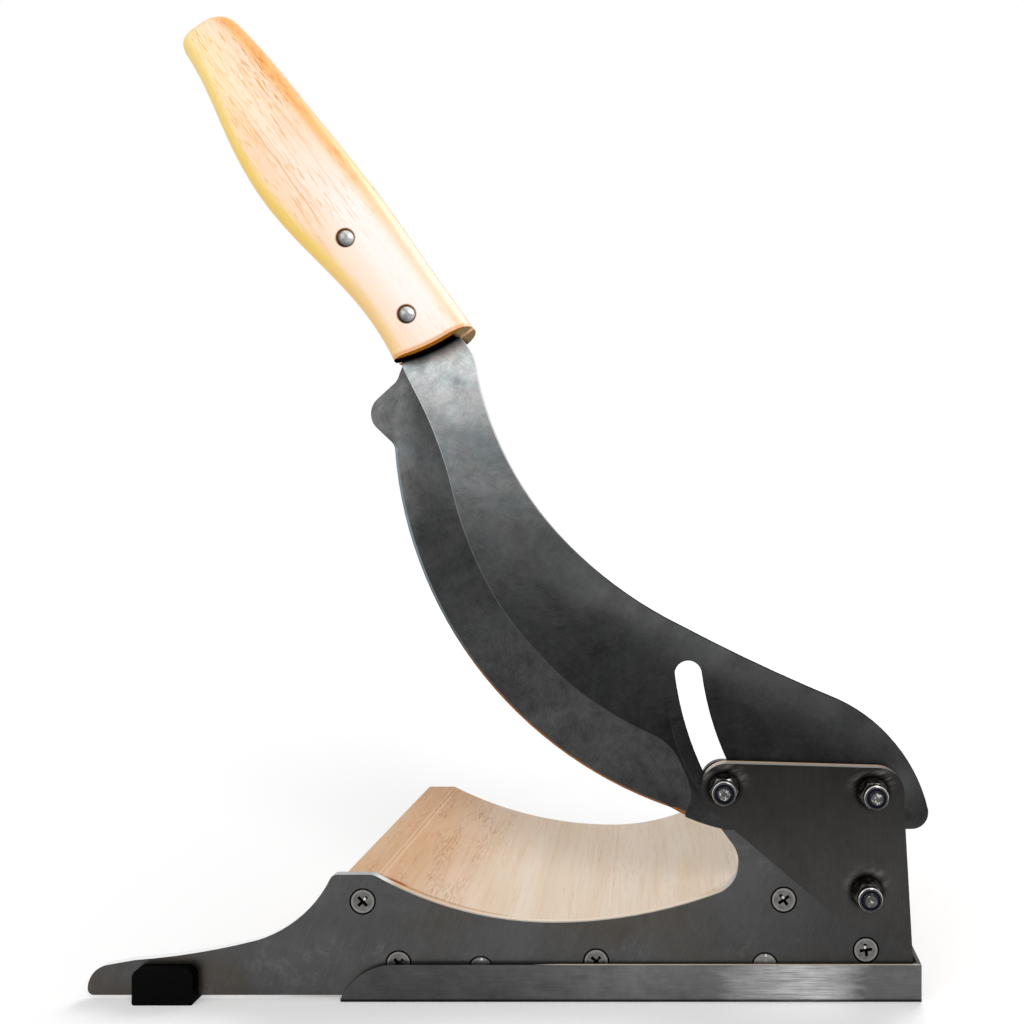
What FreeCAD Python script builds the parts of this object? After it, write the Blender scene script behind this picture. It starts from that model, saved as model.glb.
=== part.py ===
"""Draw-cut lever slicer, as a parametric FreeCAD document.

Frame: X to the right, Y away from the viewer's side, Z up, in millimetres and degrees.
The origin is the centre of the base channel's underside.  The plates, the blade and the
bracket are upright layers stacked towards -Y in front of the wood block.
"""
import FreeCAD, Part
import math
import os

import Sketcher

# Driving dimensions: alias -> number.
SIZES = {
    # base channel
    "base_length": 237.0,
    "base_width": 97.5,
    "base_wall": 1.5,
    "flange_height": 15.4,
    "outer_bend_round": 0.8,
    "inner_bend_round": 0.3,
    "flange_round_run": 21.5,
    # wood block
    "block_end_gap": 0.3,
    "block_top": 51.0,
    "block_edge_round": 1.2,
    "block_rear_margin": 0.4,
    "saddle_centre": -19.0,
    "saddle_height": 30.5,
    "saddle_front_radius": 188.0,
    "saddle_rear_radius": 105.0,
    # side plate
    "plate_wall": 2.5,
    "plate_lift": 0.7,
    "nose_reach": 104.4,
    "nose_height": 13.1,
    "nose_run": 19.4,
    "nose_hump": 3.4,
    "nose_round": 9.8,
    "nose_heel_round": 2.5,
    "neck_run": 69.4,
    "neck_height": 24.6,
    "neck_radius": 290.0,
    "rise_radius": 49.0,
    "shoulder_reach": 4.2,
    "shoulder_height": 51.5,
    "shoulder_round": 3.0,
    "crescent_centre": -32.0,
    "crescent_height": 31.8,
    "crescent_front_radius": 148.0,
    "crescent_rear_radius": 195.0,
    "crescent_end_round": 8.0,
    "throat_reach": 13.9,
    "throat_round": 13.3,
    "throat_top_reach": 10.0,
    "throat_top_drop": 7.4,
    "throat_top_round": 6.0,
    "plate_front_margin": 9.0,
    "plate_top_margin": 8.5,
    "plate_top_round": 9.0,
    "plate_end_gap": 2.3,
    "plate_lean": 5.3,
    # pins and bolts
    "pin_height": 89.9,
    "pin_spacing": 59.6,
    "rear_pin_drop": 1.7,
    "rear_pin_inset": 21.3,
    "lower_bolt_drop": 39.9,
    "lower_bolt_inset": 2.3,
    "bolt_width": 6.0,
    "bolt_length": 17.0,
    "bolt_head_height": 4.0,
    "bolt_tip_bevel": 0.7,
    "hex_width": 10.0,
    "nut_hex_height": 3.9,
    "nut_collar_width": 9.7,
    "nut_collar_round": 0.8,
    "nut_height": 6.2,
    "nut_bevel_sink": 0.1,
    "nut_bevel_reach": 1.0,
    "nut_bevel_angle": 30.0,
    "insert_width": 7.8,
    "insert_height": 1.5,
    "insert_sink": 0.2,
    "washer_width": 11.5,
    "washer_wall": 1.0,
    "thread_gap": 0.05,
    "bolt_hole_gap": 0.15,
    "sleeve_width": 7.0,
    "spacer_width": 9.0,
    "bush_gap": 0.1,
    "head_recess_gap": 1.0,
    # bracket plate
    "bracket_wall": 3.5,
    "bracket_top_margin": 9.5,
    "bracket_pin_round": 10.4,
    "bracket_rear_margin": 12.9,
    "bracket_bottom": 32.4,
    "bracket_toe_round": 6.0,
    "bracket_slope": 40.3,
    "bracket_heel_round": 2.5,
    # blade and its motion
    "blade_wall": 2.5,
    "blade_gap": 0.3,
    "edge_wall": 0.5,
    "bevel_width": 23.0,
    "edge_radius": 167.5,
    "edge_start_angle": 183.45,
    "edge_end_angle": 251.0,
    "edge_end_run": 21.7,
    "edge_end_drop": 10.4,
    "heel_radius": 80.0,
    "heel_run": 1.8,
    "heel_drop": 18.9,
    "heel_round": 10.0,
    "tail_reach": 24.8,
    "tail_drop": 16.7,
    "tail_radius": 64.4,
    "tail_round": 6.7,
    "tail_top_run": 12.3,
    "tail_top_rise": 35.3,
    "spine_low_radius": 750.0,
    "spine_low_run": 17.3,
    "spine_low_rise": 63.9,
    "spine_middle_radius": 169.0,
    "spine_high_run": 67.6,
    "spine_high_rise": 101.5,
    "spine_high_radius": 140.0,
    "neck_back_run": 32.3,
    "neck_back_rise": 37.0,
    "neck_back_round": 14.0,
    "knob_run": 13.25,
    "knob_rise": 12.45,
    "knob_round": 8.2,
    "knob_root_round": 5.0,
    "knob_top_run": 1.2,
    "knob_top_rise": 26.1,
    "knob_top_round": 8.0,
    "front_slot_width": 11.0,
    "front_slot_radius": 128.0,
    "rear_slot_gap": 0.25,
    "draw_length": 33.5,
    "draw_angle": 4.0,
    "closing_angle": 45.6,
    # tang and handle, measured along and across the handle's axis
    "handle_run": 18.1,
    "handle_rise": 39.9,
    "handle_angle": 125.6,
    "handle_wall": 22.0,
    "handle_corner": 9.0,
    "handle_end_run": 1.2,
    "handle_end_tilt": 9.6,
    "handle_end_radius": 75.0,
    "butt_tilt": 1.0,
    "butt_round": 3.0,
    "shoulder_run": 2.5,
    "shoulder_back": 9.5,
    "shoulder_front": -16.0,
    "tang_length": 64.0,
    "tang_width": 16.5,
    "tang_offset": -1.75,
    "tang_round": 3.0,
    "kerf_gap": 0.05,
    "kerf_depth": 68.0,
    "rivet_width": 5.0,
    "rivet_head_width": 7.2,
    "rivet_head_height": 1.9,
    "rivet_sink": 0.8,
    "rivet_gap": 0.1,
    "front_rivet_run": 13.4,
    "front_rivet_offset": -0.9,
    "rear_rivet_run": 51.7,
    "rear_rivet_offset": -3.0,
    # wood screws and plain pins
    "screw_head_width": 9.5,
    "screw_shank_width": 4.8,
    "screw_length": 25.0,
    "screw_tip": 5.0,
    "screw_rim": 0.6,
    "screw_gap": 0.1,
    "cross_reach": 2.6,
    "cross_half_width": 0.65,
    "cross_depth": 1.8,
    "base_screw_length": 20.0,
    "base_screw_inset": 28.0,
    "base_screw_margin": 24.0,
    # places of the countersunk heads: run from the base's front, middle or rear, and height;
    # the turn is that of the cross recess
    "front_high_run": 8.3,
    "front_high_rise": 40.5,
    "front_high_turn": 45.0,
    "front_low_run": 23.0,
    "front_low_rise": 15.1,
    "front_low_turn": 43.0,
    "middle_run": -14.5,
    "middle_rise": 15.9,
    "middle_turn": 47.0,
    "rear_high_run": -56.1,
    "rear_high_rise": 41.2,
    "rear_high_turn": 35.0,
    "rear_low_run": -22.4,
    "rear_low_rise": 20.6,
    "rear_low_turn": 8.0,
    "front_pin_run": 56.7,
    "front_pin_rise": 12.8,
    "rear_pin_run": -63.8,
    "rear_pin_rise": 14.3,
    # rubber foot
    "foot_inset": 32.9,
    "foot_length": 24.8,
    "foot_height": 15.0,
    "foot_wall": 3.2,
    "foot_round": 4.0,
    "foot_edge_round": 1.0,
}

# Handle sections, named from the blade to the butt: run along the axis, offset of the centre
# and half width.
HANDLE_SECTIONS = {
    "collar": (-2.3, -1.2, 17.1),
    "neck": (14.0, -0.1, 16.0),
    "shaft": (30.0, 0.0, 16.0),
    "swell": (52.0, -1.2, 17.6),
    "crown": (86.0, -3.7, 19.1),
    "taper": (115.0, -3.1, 16.8),
    "wrist": (138.0, -1.5, 13.7),
    "butt": (152.0, -1.65, 12.05),
}

doc = FreeCAD.newDocument("LeverSlicer")


class Size:
    """A number together with the sheet expression that it comes from."""

    def __init__(self, value, text):
        self.value = value
        self.text = text

    @staticmethod
    def of(other):
        return other if isinstance(other, Size) else Size(float(other), repr(other))

    def __add__(self, other):
        other = Size.of(other)
        return Size(self.value + other.value, f"({self.text} + {other.text})")

    def __sub__(self, other):
        other = Size.of(other)
        return Size(self.value - other.value, f"({self.text} - {other.text})")

    def __mul__(self, other):
        other = Size.of(other)
        return Size(self.value * other.value, f"({self.text} * {other.text})")

    def __truediv__(self, other):
        other = Size.of(other)
        return Size(self.value / other.value, f"({self.text} / {other.text})")

    def __neg__(self):
        return Size(-self.value, f"(0 - {self.text})")

    def root(self):
        return Size(math.sqrt(self.value), f"sqrt({self.text})")

    def sine(self):
        return Size(math.sin(math.radians(self.value)), f"sin({self.text})")

    def cosine(self):
        return Size(math.cos(math.radians(self.value)), f"cos({self.text})")


ZERO = Size(0.0, "0")
FULL_TURN = Size(360.0, "360")


class Sheet:
    """The spreadsheet of driving dimensions; every alias reads back as a Size."""

    def __init__(self, numbers):
        self.numbers = numbers
        self.cells = doc.addObject("Spreadsheet::Sheet", "Sizes")
        for row, (alias, number) in enumerate(numbers.items(), start=1):
            self.cells.set(f"A{row}", alias)
            self.cells.set(f"B{row}", str(number))
            self.cells.setAlias(f"B{row}", alias)
        doc.recompute()

    def __getattr__(self, alias):
        return Size(self.numbers[alias], "Sizes." + alias)


def all_sizes():
    """The plain sizes and the three numbers of each handle section."""
    numbers = dict(SIZES)
    for name, (run, offset, half_width) in HANDLE_SECTIONS.items():
        numbers["grip_" + name + "_run"] = run
        numbers["grip_" + name + "_offset"] = offset
        numbers["grip_" + name + "_half_width"] = half_width
    return numbers


S = Sheet(all_sizes())


# ---------------------------------------------------------------- sketching helpers

def new_body(label, place=(ZERO, ZERO, ZERO), turn=(FreeCAD.Vector(1, 0, 0), ZERO)):
    """A body with its own label, placed and turned about one axis by sheet values."""
    body = doc.addObject("PartDesign::Body", label)
    body.Label = label
    axis, angle = turn
    position = FreeCAD.Vector(*[part.value for part in place])
    body.Placement = FreeCAD.Placement(position, FreeCAD.Rotation(axis, angle.value))
    for letter, part in zip("xyz", place):
        body.setExpression(f".Placement.Base.{letter}", part.text)
    if angle is not ZERO:
        body.setExpression(".Placement.Rotation.Angle", angle.text)
    return body


def new_sketch(body, plane, name, lift=ZERO):
    """A sketch on one of the body's own origin planes, lifted along the plane's normal."""
    sketch = body.newObject("Sketcher::SketchObject", f"{body.Name}_{name}")
    planes = [item for item in body.Origin.OriginFeatures if item.Role == plane]
    sketch.AttachmentSupport = [(planes[0], "")]
    sketch.MapMode = "FlatFace"
    if lift is not ZERO:
        sketch.AttachmentOffset.Base.z = lift.value
        sketch.setExpression(".AttachmentOffset.Base.z", lift.text)
    return sketch


def bind(sketch, index, name, size):
    """Names a constraint and ties it to the sheet."""
    sketch.renameConstraint(index, name)
    sketch.setExpression("Constraints." + name, size.text)


def pin_point(sketch, geometry, position, x, y, name):
    """Holds a point at sheet distances from the sketch's origin."""
    first = sketch.ConstraintCount
    sketch.addConstraint([
        Sketcher.Constraint("DistanceX", -1, 1, geometry, position, x.value),
        Sketcher.Constraint("DistanceY", -1, 1, geometry, position, y.value),
    ])
    bind(sketch, first, name + "_x", x)
    bind(sketch, first + 1, name + "_y", y)


UP = FreeCAD.Vector(0, 0, 1)


def arc_about(centre, radius, start, end):
    """The counter-clockwise arc about a centre, from start to end."""
    first = math.atan2(start.y - centre.y, start.x - centre.x)
    last = math.atan2(end.y - centre.y, end.x - centre.x)
    if last < first:
        last += 2 * math.pi
    return Part.ArcOfCircle(Part.Circle(centre, UP, radius), first, last)


def arc_centre(start, end, radius, side):
    """Centre of the short arc between two points; side is 1 to the left of the way."""
    chord = end - start
    left = FreeCAD.Vector(-chord.y, chord.x, 0).normalize()
    reach = math.sqrt(radius ** 2 - (chord.Length / 2) ** 2)
    return (start + end) * 0.5 + left * (reach * side)


def add_outline(sketch, corners, first_name="p"):
    """A closed outline, given counter-clockwise.

    Each corner is (x, y), or (x, y, radius, bulge) where the edge that leaves it is an arc:
    "round" swells out of the shape and "hollow" cuts into it.
    """
    corners = [(Size.of(corner[0]), Size.of(corner[1])) + corner[2:] for corner in corners]
    points = [FreeCAD.Vector(corner[0].value, corner[1].value, 0) for corner in corners]
    starts = []
    first_edge = sketch.GeometryCount
    for index, corner in enumerate(corners):
        start = points[index]
        end = points[(index + 1) % len(points)]
        if len(corner) == 2:
            sketch.addGeometry(Part.LineSegment(start, end))
            starts.append((1, 2))
        elif corner[3] == "round":
            centre = arc_centre(start, end, corner[2].value, 1)
            sketch.addGeometry(arc_about(centre, corner[2].value, start, end))
            starts.append((1, 2))
        else:
            centre = arc_centre(start, end, corner[2].value, -1)
            sketch.addGeometry(arc_about(centre, corner[2].value, end, start))
            starts.append((2, 1))
    for index, corner in enumerate(corners):
        edge = first_edge + index
        following = (index + 1) % len(corners)
        sketch.addConstraint(Sketcher.Constraint(
            "Coincident", edge, starts[index][1], first_edge + following, starts[following][0]))
        pin_point(sketch, edge, starts[index][0], corner[0], corner[1], f"{first_name}{index}")
        if len(corner) == 4:
            sketch.addConstraint(Sketcher.Constraint("Radius", edge, corner[2].value))
            bind(sketch, sketch.ConstraintCount - 1, f"{first_name}{index}_radius", corner[2])


def add_circle(sketch, x, y, width, name):
    """A circle of the given diameter."""
    geometry = sketch.addGeometry(Part.Circle(
        FreeCAD.Vector(x.value, y.value, 0), UP, width.value / 2))
    pin_point(sketch, geometry, 3, x, y, name)
    sketch.addConstraint(Sketcher.Constraint("Diameter", geometry, width.value))
    bind(sketch, sketch.ConstraintCount - 1, name + "_width", width)


def add_hexagon(sketch, width_across):
    """A hexagon about the sketch's origin, by its width across the flats."""
    corner = width_across / math.sqrt(3.0)
    points = []
    for step in range(6):
        angle = math.radians(60.0 * step)
        points.append((corner * math.cos(angle), corner * math.sin(angle)))
    add_outline(sketch, points)


# ---------------------------------------------------------------- feature helpers

def pad(body, sketch, name, length, backwards=False, both_ways=False):
    feature = body.newObject("PartDesign::Pad", f"{body.Name}_{name}")
    feature.Profile = sketch
    feature.Length = length.value
    feature.setExpression("Length", length.text)
    feature.Reversed = backwards
    feature.Midplane = both_ways
    doc.recompute()
    return feature


def pocket(body, sketch, name, depth, backwards=False, both_ways=False):
    """A pocket; it must take material away, or the build stops."""
    volume = body.Shape.Volume
    feature = body.newObject("PartDesign::Pocket", f"{body.Name}_{name}")
    feature.Profile = sketch
    feature.Length = depth.value
    feature.setExpression("Length", depth.text)
    feature.Reversed = backwards
    feature.Midplane = both_ways
    doc.recompute()
    if not body.Shape.Volume < volume - 1e-6:
        raise RuntimeError(f"{feature.Name} cuts nothing")
    return feature


def revolve(body, sketch, name):
    """A full turn about the sketch's upright axis."""
    feature = body.newObject("PartDesign::Revolution", f"{body.Name}_{name}")
    feature.Profile = sketch
    feature.ReferenceAxis = (sketch, ["V_Axis"])
    feature.Angle = 360.0
    doc.recompute()
    return feature


def groove(body, sketch, name, angle, axis="V_Axis"):
    """A cut turned about one of the sketch's axes, spread evenly to both sides."""
    volume = body.Shape.Volume
    feature = body.newObject("PartDesign::Groove", f"{body.Name}_{name}")
    feature.Profile = sketch
    feature.ReferenceAxis = (sketch, [axis])
    feature.Midplane = True
    feature.Angle = angle.value
    feature.setExpression("Angle", angle.text)
    doc.recompute()
    if not body.Shape.Volume < volume - 1e-6:
        raise RuntimeError(f"{feature.Name} cuts nothing")
    return feature


def through(thickness):
    """Depth of a cut, spread to both sides of the sketch, that clears a wall beside it."""
    return thickness * 3


def countersunk_holes(body, sketch, name, hole_width, mouth_width, upwards=False, depth=None):
    """Screw holes with a 90 degree countersink at the sketch's plane."""
    volume = body.Shape.Volume
    feature = body.newObject("PartDesign::Hole", f"{body.Name}_{name}")
    feature.Profile = sketch
    doc.recompute()
    feature.Threaded = False
    feature.Diameter = hole_width.value
    feature.setExpression("Diameter", hole_width.text)
    feature.HoleCutType = "Countersink"
    feature.HoleCutCustomValues = True
    feature.HoleCutDiameter = mouth_width.value
    feature.setExpression("HoleCutDiameter", mouth_width.text)
    feature.HoleCutCountersinkAngle = 90.0
    feature.Reversed = upwards
    if depth is None:
        feature.DepthType = "ThroughAll"
    else:
        feature.DepthType = "Dimension"
        feature.Depth = depth.value
        feature.setExpression("Depth", depth.text)
        feature.DrillPoint = "Flat"
    doc.recompute()
    if not body.Shape.Volume < volume - 1e-6:
        raise RuntimeError(f"{feature.Name} cuts nothing")
    return feature


def chosen_edges(body, name, chosen):
    """The body's last feature and the names of its edges for which chosen(edge) is true."""
    base = body.Tip
    names = []
    for index, edge in enumerate(base.Shape.Edges, start=1):
        if chosen(edge):
            names.append(f"Edge{index}")
    if not names:
        raise RuntimeError(f"{body.Name}_{name} finds no edge")
    return base, names


def bevel_edges(body, name, width, chosen):
    """Chamfers the chosen edges of the body's last feature."""
    base = chosen_edges(body, name, chosen)
    feature = body.newObject("PartDesign::Chamfer", f"{body.Name}_{name}")
    feature.Base = base
    feature.Size = width.value
    feature.setExpression("Size", width.text)
    doc.recompute()
    return feature


def round_edges(body, name, radius, chosen):
    """Fillets the edges of the body's last feature for which chosen(edge) is true."""
    base = chosen_edges(body, name, chosen)
    feature = body.newObject("PartDesign::Fillet", f"{body.Name}_{name}")
    feature.Base = base
    feature.Radius = radius.value
    feature.setExpression("Radius", radius.text)
    doc.recompute()
    return feature


def along(edge, axis):
    """True for a straight edge along the given axis."""
    if edge.Curve.TypeId != "Part::GeomLine":
        return False
    return abs(abs(edge.Curve.Direction.dot(axis)) - 1.0) < 1e-6


def across_sheet(*corners):
    """Chooses the edges through the sheet's thickness at the given X and Z places."""
    def chosen(edge):
        if not along(edge, FreeCAD.Vector(0, 1, 0)):
            return False
        place = edge.Vertexes[0].Point
        for x, z in corners:
            if math.hypot(place.x - x.value, place.z - z.value) < 1e-3:
                return True
        return False
    return chosen


# ---------------------------------------------------------------- shared places

half_length = S.base_length / 2
half_width = S.base_width / 2

# Layers from the channel's front flange outwards, as Y.
flange_inside_y = S.base_wall - half_width
plate_front_y = flange_inside_y
plate_back_y = plate_front_y + S.plate_wall
blade_back_y = plate_front_y - S.blade_gap
blade_middle_y = blade_back_y - S.blade_wall / 2
plate_space = S.blade_wall + S.blade_gap * 2
bracket_back_y = plate_front_y - plate_space
bracket_front_y = bracket_back_y - S.bracket_wall

# Axes of the two pins and the lower bolt, as X and Z.
REAR_PIN = (half_length - S.rear_pin_inset, S.pin_height - S.rear_pin_drop)
FRONT_PIN = (REAR_PIN[0] - S.pin_spacing, S.pin_height)
LOWER_BOLT = (REAR_PIN[0] - S.lower_bolt_inset, REAR_PIN[1] - S.lower_bolt_drop)
PINS = {"front": FRONT_PIN, "rear": REAR_PIN, "lower": LOWER_BOLT}

bolt_hole_width = S.bolt_width + S.bolt_hole_gap * 2
plate_bottom = S.base_wall + S.plate_lift
nose_x = -(half_length + S.nose_reach)

# Mouth of the countersink that a screw's head sinks into, and width of a screw's hole.
countersink_width = S.screw_head_width + (S.screw_rim + S.screw_gap) * 2
screw_hole_width = S.screw_shank_width + S.screw_gap * 2

# Fasteners' +Z axis points to the front of the slicer, or down for the base screws.
TO_FRONT = (FreeCAD.Vector(1, 0, 0), Size.of(90.0))
DOWNWARDS = (FreeCAD.Vector(1, 0, 0), Size.of(180.0))

SCREWS = {
    "plate_screw_1": (S.front_high_run - half_length, S.front_high_rise),
    "plate_screw_2": (S.front_low_run - half_length, S.front_low_rise),
    "plate_screw_3": (S.middle_run, S.middle_rise),
    "plate_screw_4": (S.rear_high_run + half_length, S.rear_high_rise),
    "plate_screw_5": (S.rear_low_run + half_length, S.rear_low_rise),
}
CROSS_TURNS = {
    "plate_screw_1": S.front_high_turn,
    "plate_screw_2": S.front_low_turn,
    "plate_screw_3": S.middle_turn,
    "plate_screw_4": S.rear_high_turn,
    "plate_screw_5": S.rear_low_turn,
}
PLAIN_PINS = {
    "plate_pin_1": (S.front_pin_run - half_length, S.front_pin_rise),
    "plate_pin_2": (S.rear_pin_run + half_length, S.rear_pin_rise),
}


def base_screw_places():
    """Four screws through the channel's web, two near each end."""
    places = {}
    for end in (-1, 1):
        for side in (-1, 1):
            x = (half_length - S.base_screw_inset) * end
            y = (half_width - S.base_screw_margin) * side
            places[f"base_screw_{len(places) + 1}"] = (x, y)
    return places


BASE_SCREWS = base_screw_places()


def edge_centre():
    """Centre of the cutting edge's circle, which ends a little below the front pin."""
    x = FRONT_PIN[0] - S.edge_end_run - S.edge_radius * S.edge_end_angle.cosine()
    z = FRONT_PIN[1] - S.edge_end_drop - S.edge_radius * S.edge_end_angle.sine()
    return x, z


def on_edge(angle):
    """A place on the cutting edge's circle."""
    x, z = edge_centre()
    return x + S.edge_radius * angle.cosine(), z + S.edge_radius * angle.sine()


def on_handle(run, offset):
    """X and Z of a place given along and across the handle's axis, which starts at the root."""
    cosine = S.handle_angle.cosine()
    sine = S.handle_angle.sine()
    root = on_edge(S.edge_start_angle)
    x = root[0] + S.handle_run + run * cosine + offset * sine
    z = root[1] + S.handle_rise + run * sine - offset * cosine
    return x, z


def front_slot_end():
    """Where the front pin lies in the blade, once the blade is drawn back and closed."""
    cosine = S.closing_angle.cosine()
    sine = S.closing_angle.sine()
    run = FRONT_PIN[0] - REAR_PIN[0]
    rise = FRONT_PIN[1] - REAR_PIN[1]
    slot_end = rear_slot_end()
    return slot_end[0] + run * cosine + rise * sine, slot_end[1] - run * sine + rise * cosine


def rear_slot_end():
    """The other end of the straight slot that the rear pin's bush slides in."""
    x = REAR_PIN[0] - S.draw_length * S.draw_angle.cosine()
    z = REAR_PIN[1] + S.draw_length * S.draw_angle.sine()
    return x, z


def rear_edge(z):
    """X of the side plate's leaning rear edge at a height."""
    lean = S.plate_lean / (REAR_PIN[1] + S.plate_top_margin - plate_bottom)
    return half_length - S.plate_end_gap - lean * (z - plate_bottom)


# ---------------------------------------------------------------- base

def make_base_channel():
    """Folded sheet channel with a rounded front end and a closed rear end."""
    body = new_body("base_channel")
    profile = new_sketch(body, "YZ_Plane", "profile")
    outer = half_width
    inner = half_width - S.base_wall
    add_outline(profile, [
        (-outer, ZERO), (outer, ZERO), (outer, S.flange_height), (inner, S.flange_height),
        (inner, S.base_wall), (-inner, S.base_wall), (-inner, S.flange_height),
        (-outer, S.flange_height)])
    pad(body, profile, "web", S.base_length, both_ways=True)

    def bend(y, z):
        def chosen(edge):
            place = edge.Vertexes[0].Point
            near = abs(abs(place.y) - y.value) < 1e-6 and abs(place.z - z.value) < 1e-6
            return near and along(edge, FreeCAD.Vector(1, 0, 0))
        return chosen

    round_edges(body, "outer_bends", S.outer_bend_round, bend(outer, ZERO))
    round_edges(body, "inner_bends", S.inner_bend_round, bend(inner, S.base_wall))

    end_plate = new_sketch(body, "YZ_Plane", "end_plate", half_length)
    add_outline(end_plate, [
        (-inner, S.base_wall), (inner, S.base_wall), (inner, S.flange_height),
        (-inner, S.flange_height)])
    pad(body, end_plate, "end", S.base_wall, backwards=True)

    corner = new_sketch(body, "XZ_Plane", "front_corner")
    bend_top = S.inner_bend_round + S.base_wall
    drop = S.flange_height - bend_top
    radius = (S.flange_round_run * S.flange_round_run + drop * drop) / (drop * 2)
    outside = half_length + S.base_wall
    above = S.flange_height + S.base_wall
    add_outline(corner, [
        (-outside, bend_top),
        (-half_length, bend_top, radius, "hollow"),
        (S.flange_round_run - half_length, S.flange_height),
        (S.flange_round_run - half_length, above),
        (-outside, above)])
    pocket(body, corner, "front_round", through(S.base_width), both_ways=True)

    holes = new_sketch(body, "XY_Plane", "screw_holes")
    for name, (x, y) in BASE_SCREWS.items():
        add_circle(holes, x, y, S.screw_shank_width, name)
    countersunk_holes(body, holes, "countersinks", screw_hole_width, countersink_width, True)
    return body


def crescent_front():
    """Where the front of the crescent meets the flat shoulder."""
    radius = S.crescent_front_radius
    below = radius - (S.shoulder_height - S.crescent_height)
    return S.crescent_centre - (radius * radius - below * below).root()


def crescent_rear(x):
    """Height of the crescent's rear arc at x."""
    radius = S.crescent_rear_radius
    run = x - S.crescent_centre
    return S.crescent_height + radius - (radius * radius - run * run).root()


def make_wood_block():
    """Wood block with a hollow top behind the side plate's crescent."""
    body = new_body("wood_block", (ZERO, plate_back_y, ZERO))
    depth = half_width - S.base_wall - plate_back_y
    right = half_length - S.base_wall - S.block_end_gap
    top_right = rear_edge(S.block_top) + S.block_rear_margin
    low = S.saddle_height
    front_radius = S.saddle_front_radius
    rear_radius = S.saddle_rear_radius
    front_below = front_radius - (S.block_top - low)
    rear_below = rear_radius - (S.block_top - low)
    front_x = S.saddle_centre - (front_radius * front_radius - front_below * front_below).root()
    rear_x = S.saddle_centre + (rear_radius * rear_radius - rear_below * rear_below).root()
    profile = new_sketch(body, "XZ_Plane", "profile")
    add_outline(profile, [
        (-half_length, S.base_wall),
        (right, S.base_wall),
        (top_right, S.block_top),
        (rear_x, S.block_top, rear_radius, "hollow"),
        (S.saddle_centre, low, front_radius, "hollow"),
        (front_x, S.block_top),
        (-half_length, S.block_top)])
    pad(body, profile, "block", depth, backwards=True)
    round_edges(body, "rounded_ends", S.block_edge_round, across_sheet(
        (-half_length, S.block_top), (top_right, S.block_top)))

    def rear_foot(edge):
        place = edge.Vertexes[0].Point
        low_edge = abs(place.z - S.base_wall.value) < 1e-6
        back_edge = abs(place.y - depth.value) < 1e-6
        return low_edge and back_edge and along(edge, FreeCAD.Vector(1, 0, 0))

    round_edges(body, "rear_foot", S.inner_bend_round + S.block_end_gap, rear_foot)

    recess = new_sketch(body, "XZ_Plane", "bolt_head_recess")
    recess_width = S.hex_width * (2.0 / math.sqrt(3.0)) + S.head_recess_gap * 2
    add_circle(recess, LOWER_BOLT[0], LOWER_BOLT[1], recess_width, "recess")
    pocket(body, recess, "bolt_recess", S.bolt_head_height + S.head_recess_gap)

    shanks = new_sketch(body, "XZ_Plane", "screw_shanks")
    for name, (x, z) in list(SCREWS.items()) + list(PLAIN_PINS.items()):
        add_circle(shanks, x, z, screw_hole_width, name)
    countersunk_holes(
        body, shanks, "plate_screw_holes", screw_hole_width,
        countersink_width - S.plate_wall * 2,
        depth=S.screw_length - S.plate_wall + S.screw_gap)

    holes = new_sketch(body, "XY_Plane", "base_screw_holes", S.base_wall)
    for name, (x, y) in BASE_SCREWS.items():
        add_circle(holes, x, y - plate_back_y, S.screw_shank_width, name)
    countersunk_holes(
        body, holes, "base_countersinks", screw_hole_width, countersink_width - S.base_wall * 2,
        True, S.base_screw_length - S.base_wall + S.screw_gap)
    return body


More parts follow.
